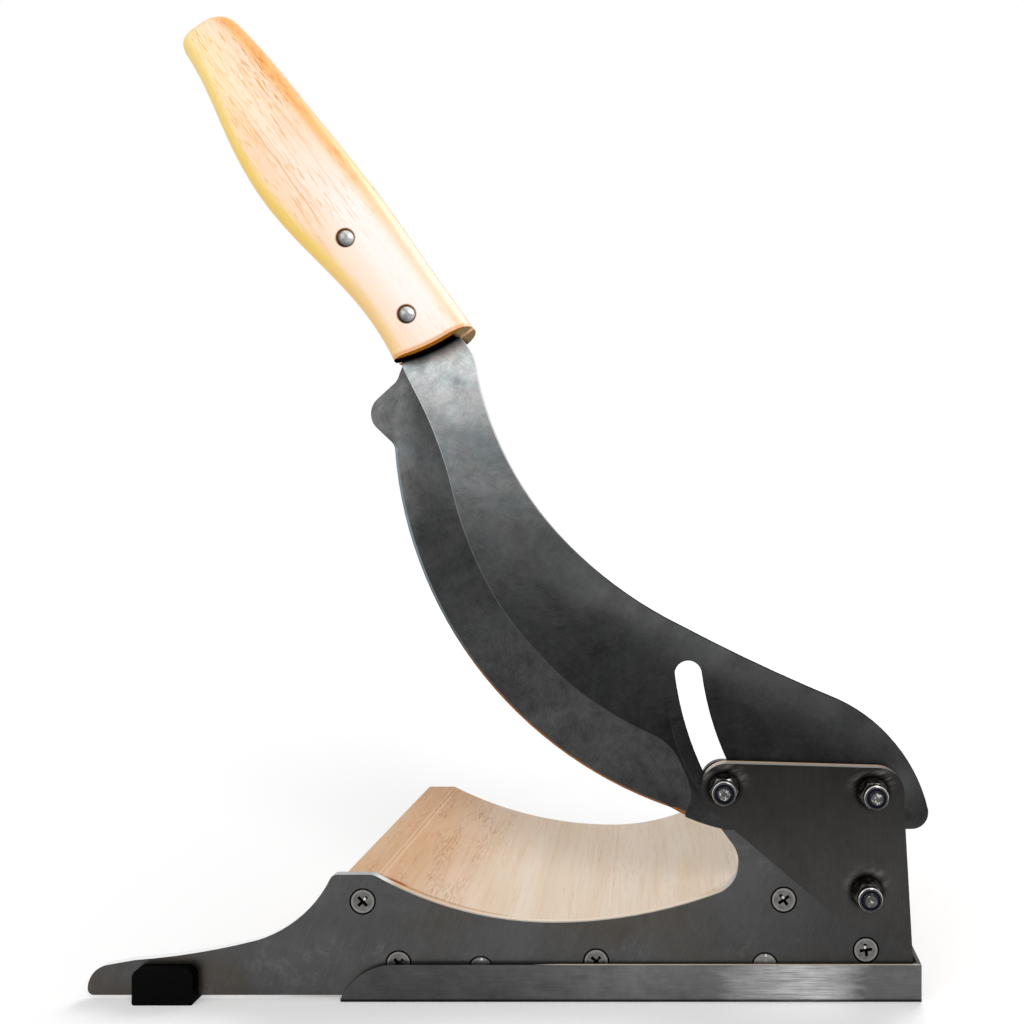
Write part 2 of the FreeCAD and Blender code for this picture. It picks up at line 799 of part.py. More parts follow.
def make_side_plate():
    """Cutting plate: long nose, shoulder, crescent, throat and the pins' carrier."""
    body = new_body("side_plate", (ZERO, plate_back_y, ZERO))
    neck_x = nose_x + S.neck_run
    shoulder_x = -(half_length + S.shoulder_reach)
    throat_x = FRONT_PIN[0] + S.throat_reach
    throat_z = crescent_rear(throat_x)
    throat_top = (FRONT_PIN[0] - S.throat_top_reach, FRONT_PIN[1] - S.throat_top_drop)
    top_front = (FRONT_PIN[0] - S.plate_front_margin, FRONT_PIN[1] + S.plate_top_margin)
    rear_top_z = REAR_PIN[1] + S.plate_top_margin
    top_rear = (rear_edge(rear_top_z), rear_top_z)
    nose_top = (nose_x + S.nose_run, S.nose_height + S.nose_hump)
    profile = new_sketch(body, "XZ_Plane", "profile")
    add_outline(profile, [
        (nose_x, plate_bottom),
        (rear_edge(plate_bottom), plate_bottom),
        top_rear,
        top_front,
        throat_top,
        (throat_x, throat_z, S.crescent_rear_radius, "hollow"),
        (S.crescent_centre, S.crescent_height, S.crescent_front_radius, "hollow"),
        (crescent_front(), S.shoulder_height),
        (shoulder_x, S.shoulder_height, S.rise_radius, "hollow"),
        (neck_x, S.neck_height, S.neck_radius, "hollow"),
        nose_top,
        (nose_x, S.nose_height)])
    pad(body, profile, "plate", S.plate_wall)
    round_edges(body, "nose_top", S.nose_round, across_sheet((nose_x, S.nose_height)))
    round_edges(body, "nose_heel", S.nose_heel_round, across_sheet((nose_x, plate_bottom)))
    round_edges(body, "shoulder", S.shoulder_round, across_sheet((shoulder_x, S.shoulder_height)))
    round_edges(body, "crescent_end", S.crescent_end_round, across_sheet(
        (crescent_front(), S.shoulder_height)))
    round_edges(body, "throat", S.throat_round, across_sheet((throat_x, throat_z)))
    round_edges(body, "throat_top", S.throat_top_round, across_sheet(throat_top))
    round_edges(body, "front_top", S.plate_top_round, across_sheet(top_front))
    round_edges(body, "rear_top", S.bracket_pin_round, across_sheet(top_rear))

    bolts = new_sketch(body, "XZ_Plane", "bolt_holes")
    for name, (x, z) in PINS.items():
        add_circle(bolts, x, z, bolt_hole_width, name)
    pocket(body, bolts, "bolts", through(S.plate_wall), both_ways=True)

    heads = new_sketch(body, "XZ_Plane", "screw_holes", S.plate_wall)
    for name, (x, z) in list(SCREWS.items()) + list(PLAIN_PINS.items()):
        add_circle(heads, x, z, S.screw_shank_width, name)
    countersunk_holes(body, heads, "countersinks", screw_hole_width, countersink_width)
    return body


def make_bracket_plate():
    """Outer plate that carries the pins in front of the blade."""
    body = new_body("bracket_plate", (ZERO, bracket_back_y, ZERO))
    slope = S.bracket_slope.sine() / S.bracket_slope.cosine()
    top_slope = S.rear_pin_drop / S.pin_spacing
    rear_x = REAR_PIN[0] + S.bracket_rear_margin
    rear_top_z = REAR_PIN[1] + S.bracket_top_margin - top_slope * S.bracket_rear_margin
    # The sloping edge is tangent to the round about the front pin.
    edge_x = FRONT_PIN[0] - S.bracket_pin_round * S.bracket_slope.sine()
    edge_z = FRONT_PIN[1] - S.bracket_pin_round * S.bracket_slope.cosine()
    toe_x = edge_x + (edge_z - S.bracket_bottom) / slope
    # Height of the top edge above the pins' line, and where both edges meet.
    top_at_pin = FRONT_PIN[1] + S.bracket_top_margin
    meet_run = (edge_z + slope * (edge_x - FRONT_PIN[0]) - top_at_pin) / (slope - top_slope)
    meet_x = FRONT_PIN[0] + meet_run
    meet_z = top_at_pin - top_slope * meet_run
    profile = new_sketch(body, "XZ_Plane", "profile")
    add_outline(profile, [
        (toe_x, S.bracket_bottom),
        (rear_x, S.bracket_bottom),
        (rear_x, rear_top_z),
        (meet_x, meet_z)])
    pad(body, profile, "plate", S.bracket_wall)
    round_edges(body, "front_round", S.bracket_pin_round, across_sheet((meet_x, meet_z)))
    round_edges(body, "toe", S.bracket_toe_round, across_sheet((toe_x, S.bracket_bottom)))
    round_edges(body, "heel", S.bracket_heel_round, across_sheet((rear_x, S.bracket_bottom)))
    round_edges(body, "rear_top", S.bracket_pin_round, across_sheet((rear_x, rear_top_z)))
    bolts = new_sketch(body, "XZ_Plane", "bolt_holes")
    for name, (x, z) in PINS.items():
        add_circle(bolts, x, z, bolt_hole_width, name)
    pocket(body, bolts, "bolts", through(S.bracket_wall), both_ways=True)
    return body


def make_nose_foot():
    """Rubber sleeve, pushed over the bottom edge of the plate's nose."""
    body = new_body("nose_foot", (nose_x + S.foot_inset, plate_front_y + S.plate_wall / 2, ZERO))
    half_foot = S.foot_length / 2
    profile = new_sketch(body, "XZ_Plane", "profile")
    add_outline(profile, [
        (-half_foot, ZERO), (half_foot, ZERO),
        (half_foot, S.foot_height), (-half_foot, S.foot_height)])
    pad(body, profile, "sleeve", S.plate_wall + S.foot_wall * 2, both_ways=True)
    round_edges(body, "top_corners", S.foot_round, across_sheet(
        (half_foot, S.foot_height), (-half_foot, S.foot_height)))
    round_edges(body, "foot_corners", S.foot_edge_round, across_sheet(
        (half_foot, ZERO), (-half_foot, ZERO)))
    slot = new_sketch(body, "XZ_Plane", "slot")
    reach = S.foot_length
    add_outline(slot, [
        (-reach, plate_bottom), (reach, plate_bottom),
        (reach, S.foot_height * 2), (-reach, S.foot_height * 2)])
    pocket(body, slot, "plate_slot", S.plate_wall, both_ways=True)
    return body


# ---------------------------------------------------------------- fasteners

def make_bolt(label, place):
    """Hexagon bolt from behind the side plate; its head bears on the plate's back."""
    body = new_body(label, (place[0], plate_back_y, place[1]), TO_FRONT)
    head = new_sketch(body, "XY_Plane", "head")
    add_hexagon(head, S.hex_width)
    pad(body, head, "hexagon", S.bolt_head_height, backwards=True)
    shank = new_sketch(body, "XY_Plane", "shank")
    add_circle(shank, ZERO, ZERO, S.bolt_width, "shank")
    pad(body, shank, "thread", S.bolt_length)

    def tip(edge):
        return abs(edge.BoundBox.ZMin - S.bolt_length.value) < 1e-6 and edge.Closed

    bevel_edges(body, "tip", S.bolt_tip_bevel, tip)
    return body


def make_washer(label, place):
    body = new_body(label, (place[0], bracket_front_y, place[1]), TO_FRONT)
    ring = new_sketch(body, "XY_Plane", "ring")
    add_circle(ring, ZERO, ZERO, S.washer_width, "outside")
    add_circle(ring, ZERO, ZERO, bolt_hole_width, "inside")
    pad(body, ring, "washer", S.washer_wall)
    return body


def make_nut(label, place):
    """Lock nut: hexagon with bevelled corners and a round collar for the insert."""
    body = new_body(label, (place[0], bracket_front_y - S.washer_wall, place[1]), TO_FRONT)
    hexagon = new_sketch(body, "XY_Plane", "hexagon")
    add_hexagon(hexagon, S.hex_width)
    pad(body, hexagon, "hexagon_pad", S.nut_hex_height)
    collar = new_sketch(body, "XY_Plane", "collar", S.nut_hex_height)
    add_circle(collar, ZERO, ZERO, S.nut_collar_width, "collar")
    pad(body, collar, "collar_pad", S.nut_height - S.nut_hex_height)

    def rim(edge):
        return abs(edge.BoundBox.ZMin - S.nut_height.value) < 1e-6 and edge.Closed

    round_edges(body, "collar_rim", S.nut_collar_round, rim)

    # Corner bevels on both ends of the hexagon.
    bevels = new_sketch(body, "XZ_Plane", "bevels")
    flat = S.hex_width / 2 - S.nut_bevel_sink
    corner = S.hex_width / 2 + S.nut_bevel_reach
    fall = (corner - flat) * S.nut_bevel_angle.sine() / S.nut_bevel_angle.cosine()
    add_outline(bevels, [(flat, S.nut_hex_height), (corner, S.nut_hex_height - fall),
                         (corner, S.nut_hex_height)], "upper")
    add_outline(bevels, [(flat, ZERO), (corner, ZERO), (corner, fall)], "lower")
    groove(body, bevels, "corner_bevels", FULL_TURN)

    bore = new_sketch(body, "XY_Plane", "bore")
    add_circle(bore, ZERO, ZERO, S.bolt_width + S.thread_gap * 2, "bore")
    pocket(body, bore, "thread_bore", S.nut_height, backwards=True)
    seat = new_sketch(body, "XY_Plane", "seat", S.nut_height)
    add_circle(seat, ZERO, ZERO, S.insert_width, "seat")
    pocket(body, seat, "insert_seat", S.insert_height)
    return body


def make_insert(label, place):
    """Nylon ring that locks the nut."""
    lift = bracket_front_y - S.washer_wall - (S.nut_height - S.insert_height)
    body = new_body(label, (place[0], lift, place[1]), TO_FRONT)
    ring = new_sketch(body, "XY_Plane", "ring")
    add_circle(ring, ZERO, ZERO, S.insert_width, "outside")
    add_circle(ring, ZERO, ZERO, S.bolt_width + S.thread_gap * 2, "inside")
    pad(body, ring, "insert", S.insert_height - S.insert_sink)
    return body


def make_ring(label, place, width, gap=ZERO):
    """Distance ring on a bolt between the two plates, with a side gap where it turns."""
    body = new_body(label, (place[0], plate_front_y - gap, place[1]), TO_FRONT)
    ring = new_sketch(body, "XY_Plane", "ring")
    add_circle(ring, ZERO, ZERO, width, "outside")
    add_circle(ring, ZERO, ZERO, S.bolt_width + S.thread_gap * 2, "inside")
    pad(body, ring, "distance", plate_space - gap * 2)
    return body


def countersunk_profile(body, length):
    """Half section of a countersunk head and its shank, turned about the long axis."""
    profile = new_sketch(body, "XZ_Plane", "profile")
    head = S.screw_head_width / 2
    shank = S.screw_shank_width / 2
    cone = head - shank
    add_outline(profile, [
        (ZERO, -length),
        (shank, S.screw_tip - length),
        (shank, -(S.screw_rim + cone)),
        (head, -S.screw_rim),
        (head, ZERO),
        (ZERO, ZERO)])
    revolve(body, profile, "turned")


def make_screw(label, place, turn, length, cross_turn=ZERO):
    """Countersunk wood screw with a cross recess; its head's face is at the place."""
    body = new_body(label, place, turn)
    countersunk_profile(body, length)
    cross = new_sketch(body, "XY_Plane", "cross")
    if cross_turn is not ZERO:
        cross.AttachmentOffset = FreeCAD.Placement(
            FreeCAD.Vector(0, 0, 0), FreeCAD.Rotation(UP, cross_turn.value))
        cross.setExpression(".AttachmentOffset.Rotation.Angle", cross_turn.text)
    reach = S.cross_reach
    half = S.cross_half_width
    add_outline(cross, [
        (reach, -half), (reach, half), (half, half), (half, reach), (-half, reach),
        (-half, half), (-reach, half), (-reach, -half), (-half, -half), (-half, -reach),
        (half, -reach), (half, -half)])
    pocket(body, cross, "recess", S.cross_depth)
    return body


def make_plain_pin(label, place):
    """Countersunk pin without a recess."""
    body = new_body(label, (place[0], plate_front_y, place[1]), TO_FRONT)
    countersunk_profile(body, S.screw_length)
    return body


# ---------------------------------------------------------------- blade and handle

def make_blade():
    """Curved blade with a ground edge, two guide slots and a tang."""
    body = new_body("blade", (ZERO, blade_back_y, ZERO))
    root = on_edge(S.edge_start_angle)
    heel = (FRONT_PIN[0] + S.heel_run, FRONT_PIN[1] - S.heel_drop)
    tail = (REAR_PIN[0] + S.tail_reach, REAR_PIN[1] - S.tail_drop)
    tail_top = (REAR_PIN[0] - S.tail_top_run, REAR_PIN[1] + S.tail_top_rise)
    spine_low = (FRONT_PIN[0] - S.spine_low_run, FRONT_PIN[1] + S.spine_low_rise)
    spine_high = (FRONT_PIN[0] - S.spine_high_run, FRONT_PIN[1] + S.spine_high_rise)
    neck_back = (root[0] + S.neck_back_run, root[1] + S.neck_back_rise)
    half_tang = S.tang_width / 2
    tang_back = S.tang_offset + half_tang
    tang_front = S.tang_offset - half_tang
    tang_root = S.tang_round * 2
    tang_corners = [on_handle(S.tang_length, tang_back), on_handle(S.tang_length, tang_front)]
    knob = (root[0] - S.knob_run, root[1] + S.knob_rise)
    knob_top = (root[0] + S.knob_top_run, root[1] + S.knob_top_rise)
    profile = new_sketch(body, "XZ_Plane", "profile")
    add_outline(profile, [
        heel,
        tail + (S.tail_radius, "round"),
        tail_top + (S.spine_low_radius, "hollow"),
        spine_low + (S.spine_middle_radius, "hollow"),
        spine_high + (S.spine_high_radius, "hollow"),
        neck_back,
        on_handle(S.shoulder_run, S.shoulder_back),
        on_handle(tang_root, tang_back),
        tang_corners[0],
        tang_corners[1],
        on_handle(tang_root, tang_front),
        on_handle(S.shoulder_run, S.shoulder_front),
        knob_top,
        knob,
        root + (S.edge_radius, "round"),
        on_edge(S.edge_end_angle) + (S.heel_radius, "round")])
    pad(body, profile, "sheet", S.blade_wall)
    round_edges(body, "heel", S.heel_round, across_sheet(heel))
    round_edges(body, "tail", S.tail_round, across_sheet(tail))
    round_edges(body, "neck_back", S.neck_back_round, across_sheet(neck_back))
    round_edges(body, "tang", S.tang_round, across_sheet(*tang_corners))
    round_edges(body, "knob_top", S.knob_top_round, across_sheet(knob_top))
    round_edges(body, "knob", S.knob_round, across_sheet(knob))
    round_edges(body, "knob_root", S.knob_root_round, across_sheet(root))

    # The bevel is a cone about the edge's centre, cut from the front face.
    bevel = new_sketch(body, "XY_Plane", "bevel")
    x, z = edge_centre()
    middle = (S.edge_start_angle + S.edge_end_angle) / 2
    bevel.AttachmentOffset = FreeCAD.Placement(
        FreeCAD.Vector(x.value, 0, z.value),
        FreeCAD.Rotation(FreeCAD.Vector(0, 1, 0), -middle.value))
    bevel.setExpression(".AttachmentOffset.Base.x", x.text)
    bevel.setExpression(".AttachmentOffset.Base.z", z.text)
    bevel.setExpression(".AttachmentOffset.Rotation.Angle", (-middle).text)
    margin = S.blade_wall
    depth = S.blade_wall - S.edge_wall
    end_depth = depth * (margin / S.bevel_width + 1)
    add_outline(bevel, [
        (S.edge_radius - S.bevel_width, -S.blade_wall),
        (S.edge_radius + margin, -S.blade_wall),
        (S.edge_radius + margin, end_depth - S.blade_wall)])
    groove(body, bevel, "ground_bevel", S.edge_end_angle - S.edge_start_angle)

    add_slot(body, "front_slot", FRONT_PIN, front_slot_end(), S.front_slot_width / 2,
             S.front_slot_radius)
    add_slot(body, "rear_slot", REAR_PIN, rear_slot_end(), S.sleeve_width / 2 + S.rear_slot_gap)
    rivets = new_sketch(body, "XZ_Plane", "rivet_holes")
    for name, (run, offset) in RIVETS.items():
        hole_x, hole_z = on_handle(run, offset)
        add_circle(rivets, hole_x, hole_z, S.rivet_width + S.rivet_gap * 2, name)
    pocket(body, rivets, "rivets", through(S.blade_wall), both_ways=True)
    return body


def add_slot(body, name, start, end, half, radius=None):
    """A slot between two places of a pin: straight, or curved about a centre behind it."""
    sketch = new_sketch(body, "XZ_Plane", name)
    first = FreeCAD.Vector(start[0].value, start[1].value, 0)
    last = FreeCAD.Vector(end[0].value, end[1].value, 0)
    if radius is None:
        way = (last - first).normalize()
        out_first = FreeCAD.Vector(way.y, -way.x, 0)
        out_last = out_first
        sides = [
            Part.LineSegment(first + out_first * half.value, last + out_last * half.value),
            Part.LineSegment(first - out_first * half.value, last - out_last * half.value)]
    else:
        centre = arc_centre(last, first, radius.value, 1)
        out_first = (first - centre).normalize()
        out_last = (last - centre).normalize()
        sides = []
        for reach in (half.value, -half.value):
            far = radius.value + reach
            sides.append(arc_about(
                centre, far, centre + out_last * far, centre + out_first * far))
    for side in sides:
        sketch.addGeometry(side)
    near_first = [first + out_first * half.value, first - out_first * half.value]
    near_last = [last + out_last * half.value, last - out_last * half.value]
    low_cap = [near_first[0], near_first[1]] if radius is None else near_first[::-1]
    high_cap = near_last[::-1] if radius is None else near_last
    sketch.addGeometry(arc_about(first, half.value, low_cap[1], low_cap[0]))
    sketch.addGeometry(arc_about(last, half.value, high_cap[1], high_cap[0]))

    def end_at(geometry, point):
        drawn = sketch.Geometry[geometry]
        return 1 if drawn.StartPoint.distanceToPoint(point) < 1e-6 else 2

    for cap, points in ((2, near_first), (3, near_last)):
        for side, point in enumerate(points):
            sketch.addConstraint(Sketcher.Constraint(
                "Tangent", side, end_at(side, point), cap, end_at(cap, point)))
    pin_point(sketch, 2, 3, start[0], start[1], "start")
    pin_point(sketch, 3, 3, end[0], end[1], "end")
    sketch.addConstraint(Sketcher.Constraint("Radius", 2, half.value))
    bind(sketch, sketch.ConstraintCount - 1, "half_width", half)
    if radius is not None:
        sketch.addConstraint(Sketcher.Constraint("Radius", 0, (radius + half).value))
        bind(sketch, sketch.ConstraintCount - 1, "outer_radius", radius + half)
    pocket(body, sketch, name + "_cut", through(S.blade_wall), both_ways=True)


RIVETS = {
    "handle_rivet_1": (S.front_rivet_run, S.front_rivet_offset),
    "handle_rivet_2": (S.rear_rivet_run, S.rear_rivet_offset),
}


def make_handle():
    """Swelling wooden grip with flat sides, and a sawn slot for the tang."""
    x, z = on_handle(ZERO, ZERO)
    turn = (FreeCAD.Vector(0, 1, 0), -S.handle_angle)
    body = new_body("handle", (x, blade_middle_y, z), turn)
    tilts = {"collar": S.handle_end_tilt, "butt": S.butt_tilt}
    sections = []
    for name in HANDLE_SECTIONS:
        run = getattr(S, "grip_" + name + "_run")
        offset = getattr(S, "grip_" + name + "_offset")
        half = getattr(S, "grip_" + name + "_half_width")
        sections.append(add_section(body, name, run, offset, half, tilts.get(name, ZERO)))
    loft_through(body, "grip", sections)

    # The rounded rim of the butt, in flat steps that each turn by 30 degrees.
    rim = []
    for angle in (0, 30, 60, 90):
        turned = Size.of(angle)
        run = S.grip_butt_run + S.butt_round * turned.sine()
        inset = S.butt_round - S.butt_round * turned.cosine()
        rim.append(add_section(body, f"rim_{angle}", run, S.grip_butt_offset,
                               S.grip_butt_half_width, S.butt_tilt, inset))
    loft_through(body, "butt", rim, ruled=True)

    # The sawn end swells towards the blade.
    end = new_sketch(body, "XZ_Plane", "sawn_end")
    reach = S.grip_crown_half_width
    lean = reach * S.handle_end_tilt.sine() / S.handle_end_tilt.cosine()
    add_outline(end, [
        (-S.handle_wall, -reach),
        (S.handle_end_run - lean, -reach, S.handle_end_radius, "hollow"),
        (S.handle_end_run + lean, reach),
        (-S.handle_wall, reach)])
    pocket(body, end, "end_cut", S.handle_wall * 2, both_ways=True)

    kerf = new_sketch(body, "XZ_Plane", "kerf")
    reach = S.grip_crown_half_width * 2
    add_outline(kerf, [
        (-reach, -reach), (S.kerf_depth, -reach), (S.kerf_depth, reach), (-reach, reach)])
    pocket(body, kerf, "kerf_cut", S.blade_wall + S.kerf_gap * 2, both_ways=True)

    holes = new_sketch(body, "XZ_Plane", "rivet_holes")
    for name, (run, offset) in RIVETS.items():
        add_circle(holes, run, -offset, S.rivet_width + S.rivet_gap * 2, name)
    pocket(body, holes, "rivet_cut", S.handle_wall * 2, both_ways=True)
    for side in (-1, 1):
        seat = new_sketch(body, "XZ_Plane", "seats_front" if side > 0 else "seats_rear",
                          (S.handle_wall / 2 - S.rivet_sink) * side)
        for name, (run, offset) in RIVETS.items():
            add_circle(seat, run, -offset, S.rivet_head_width + S.rivet_gap * 2, name)
        pocket(body, seat, "seat_cut", S.handle_wall, backwards=side > 0)
    return body


def add_section(body, name, run, offset, half, tilt, inset=ZERO):
    """A rounded box across the handle's axis, tilted like a sawn end and drawn in by an inset."""
    sketch = new_sketch(body, "YZ_Plane", name, run)
    if tilt is not ZERO:
        sketch.AttachmentOffset = FreeCAD.Placement(
            FreeCAD.Vector(0, 0, run.value),
            FreeCAD.Rotation(FreeCAD.Vector(1, 0, 0), -tilt.value))
        sketch.setExpression(".AttachmentOffset.Rotation.Angle", tilt.text)
    side = S.handle_wall / 2 - inset
    radius = S.handle_corner - inset
    flat = side - radius
    top = half - offset - inset
    bottom = -half - offset + inset
    add_outline(sketch, [
        (side, bottom + radius),
        (side, top - radius, radius, "round"),
        (flat, top),
        (-flat, top, radius, "round"),
        (-side, top - radius),
        (-side, bottom + radius, radius, "round"),
        (-flat, bottom),
        (flat, bottom, radius, "round")])
    return sketch


def loft_through(body, name, sections, ruled=False):
    loft = body.newObject("PartDesign::AdditiveLoft", f"{body.Name}_{name}")
    loft.Profile = sections[0]
    loft.Sections = sections[1:]
    loft.Ruled = ruled
    doc.recompute()


def make_handle_rivet(label, run, offset):
    """Rivet through grip and tang, with a domed head on each side."""
    x, z = on_handle(run, offset)
    body = new_body(label, (x, blade_middle_y, z), TO_FRONT)
    profile = new_sketch(body, "XZ_Plane", "profile")
    seat = S.handle_wall / 2 - S.rivet_sink
    shank = S.rivet_width / 2
    head = S.rivet_head_width / 2
    rise = S.rivet_head_height
    dome = (head * head + rise * rise) / (rise * 2)
    add_outline(profile, [
        (ZERO, -(seat + rise), dome, "round"),
        (head, -seat),
        (shank, -seat),
        (shank, seat),
        (head, seat, dome, "round"),
        (ZERO, seat + rise)])
    revolve(body, profile, "turned")
    return body


# ---------------------------------------------------------------- assembly

def make_all():
    bodies = [
        make_base_channel(), make_wood_block(), make_side_plate(), make_bracket_plate(),
        make_nose_foot()]
    for side, place in PINS.items():
        bodies.append(make_bolt(f"{side}_bolt", place))
        bodies.append(make_washer(f"{side}_washer", place))
        bodies.append(make_nut(f"{side}_nut", place))
        bodies.append(make_insert(f"{side}_nut_insert", place))
    bodies.append(make_ring("front_pin_sleeve", FRONT_PIN, S.sleeve_width))
    bodies.append(make_ring("rear_pin_bush", REAR_PIN, S.sleeve_width, S.bush_gap))
    bodies.append(make_ring("lower_spacer", LOWER_BOLT, S.spacer_width))
    for label, (x, z) in SCREWS.items():
        bodies.append(make_screw(
            label, (x, plate_front_y, z), TO_FRONT, S.screw_length, CROSS_TURNS[label]))
    for label, place in PLAIN_PINS.items():
        bodies.append(make_plain_pin(label, place))
    for label, (x, y) in BASE_SCREWS.items():
        bodies.append(make_screw(label, (x, y, ZERO), DOWNWARDS, S.base_screw_length))
    bodies.append(make_blade())
    bodies.append(make_handle())
    for label, (run, offset) in RIVETS.items():
        bodies.append(make_handle_rivet(label, run, offset))
    return bodies


def check_and_export(bodies):
    """Stops on any failed object or bad solid, then writes one file for each sub-part."""
    doc.recompute()
    for item in doc.Objects:
        if "Invalid" in item.State or "Error" in item.State:
            raise RuntimeError(f"{item.Name} failed: {item.State}")
    for body in bodies:
        if body.Shape.isNull() or not body.Shape.isValid():
            raise RuntimeError(f"{body.Label} has a bad shape")
    os.makedirs("parts", exist_ok=True)
    for body in bodies:
        body.Shape.exportStep(os.path.join("parts", body.Label + ".step"))
        print(f"{body.Label}: {body.Shape.Volume:.1f} mm3, {len(body.Shape.Solids)} solid")


check_and_export(make_all())
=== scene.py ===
"""Looks of the lever slicer: steel, wood, rubber, the floor, the lights and the camera.

Lengths are in metres where nothing else is said; names that end in _MM are millimetres.
Colours are written as display levels from 0 to 255 and made linear by grey() and shade().
"""

import math

import bmesh
import bpy
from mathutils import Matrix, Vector
from mathutils.geometry import delaunay_2d_cdt


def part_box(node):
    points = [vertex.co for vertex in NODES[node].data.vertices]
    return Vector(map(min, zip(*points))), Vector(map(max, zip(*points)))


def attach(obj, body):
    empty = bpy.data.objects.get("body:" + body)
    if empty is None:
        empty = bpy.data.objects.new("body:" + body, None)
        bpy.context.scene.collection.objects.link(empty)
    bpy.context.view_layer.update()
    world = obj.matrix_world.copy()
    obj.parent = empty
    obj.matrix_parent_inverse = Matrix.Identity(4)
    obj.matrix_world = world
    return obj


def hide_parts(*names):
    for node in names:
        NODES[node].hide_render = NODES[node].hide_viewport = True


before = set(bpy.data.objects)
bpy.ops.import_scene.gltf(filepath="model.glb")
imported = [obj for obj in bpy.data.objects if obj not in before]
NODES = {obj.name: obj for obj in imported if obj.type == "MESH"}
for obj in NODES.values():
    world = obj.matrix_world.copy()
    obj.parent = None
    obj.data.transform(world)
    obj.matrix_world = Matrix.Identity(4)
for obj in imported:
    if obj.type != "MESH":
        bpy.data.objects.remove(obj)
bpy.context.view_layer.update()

MM = 0.001
GAMMA = 2.2
WHITE = (1.0, 1.0, 1.0, 1.0)
ACROSS = (0.0, 1.0, 0.0)
UP = (0.0, 0.0, 1.0)

# Sockets of a Mix node that mixes colours.
MIX_SHARE, MIX_FIRST, MIX_SECOND, MIX_RESULT = 0, 6, 7, 2

# The handle's lean in degrees, and the place of its sawn end as X and Z.
HANDLE_ANGLE = 125.6
HANDLE_START_MM = (-78.7, 267.7)
# The sawn end's arc, along and across the handle, and its radius.
END_CENTRE_MM = (72.6, -12.1)
END_RADIUS_MM = 75.0
HANDLE_COAT = 0.12

# Axes of the front, rear and lower bolt as X and Z.
PINS_MM = ((37.6, 89.9), (97.2, 88.2), (94.9, 48.3))
# Front face of the side plate, along Y.
FRONT_Y_MM = -47.25
# First of the two pale lines across the block, along X.
BLOCK_CREASE_MM = -104.4
CREASE_SPACING_MM = 1.8

# Display levels of the steel, each behind the place where it is reached: along X for the
# channel and the plate, and along Z for the rest.
# The channel's levels from 0.05 to 0.083 are a painted highlight, a lamp's reflection on the
# brushed flange.
CHANNEL_LEVELS_WITH_HIGHLIGHT = ((-0.09, 80), (-0.046, 84), (-0.018, 106), (0.036, 112), (0.05, 158),
                  (0.064, 188), (0.073, 204), (0.083, 174), (0.096, 106), (0.12, 94))
PLATE_LEVELS = ((-0.2, 79), (-0.12, 84), (0.03, 83), (0.06, 77), (0.08, 69), (0.1, 63),
                (0.12, 62))
BRACKET_LEVELS = ((0.04, 63), (0.057, 61), (0.068, 56), (0.085, 48), (0.1, 43))
# The flat's levels are painted light: silver where the neck catches it, near black by the pins.
FLAT_PAINTED_LIGHT_LEVELS = ((0.07, 56), (0.085, 48), (0.1, 40), (0.13, 45), (0.16, 51), (0.19, 74),
               (0.215, 108), (0.235, 134), (0.245, 166), (0.26, 202))
GROUND_LEVELS = ((0.08, 66), (0.12, 69), (0.145, 63), (0.165, 55), (0.19, 58), (0.205, 70),
                 (0.26, 64))
# The cut walls' levels are bright at the neck: fresh-cut steel and a painted highlight.
CUT_HIGHLIGHT_LEVELS = ((0.16, 26), (0.19, 60), (0.21, 150), (0.25, 205))
# The ridge's levels are a painted glint, brightest at the neck.
RIDGE_GLINT_LEVELS = ((0.11, 58), (0.15, 66), (0.19, 92), (0.26, 168))


# ---------------------------------------------------------------- node trees

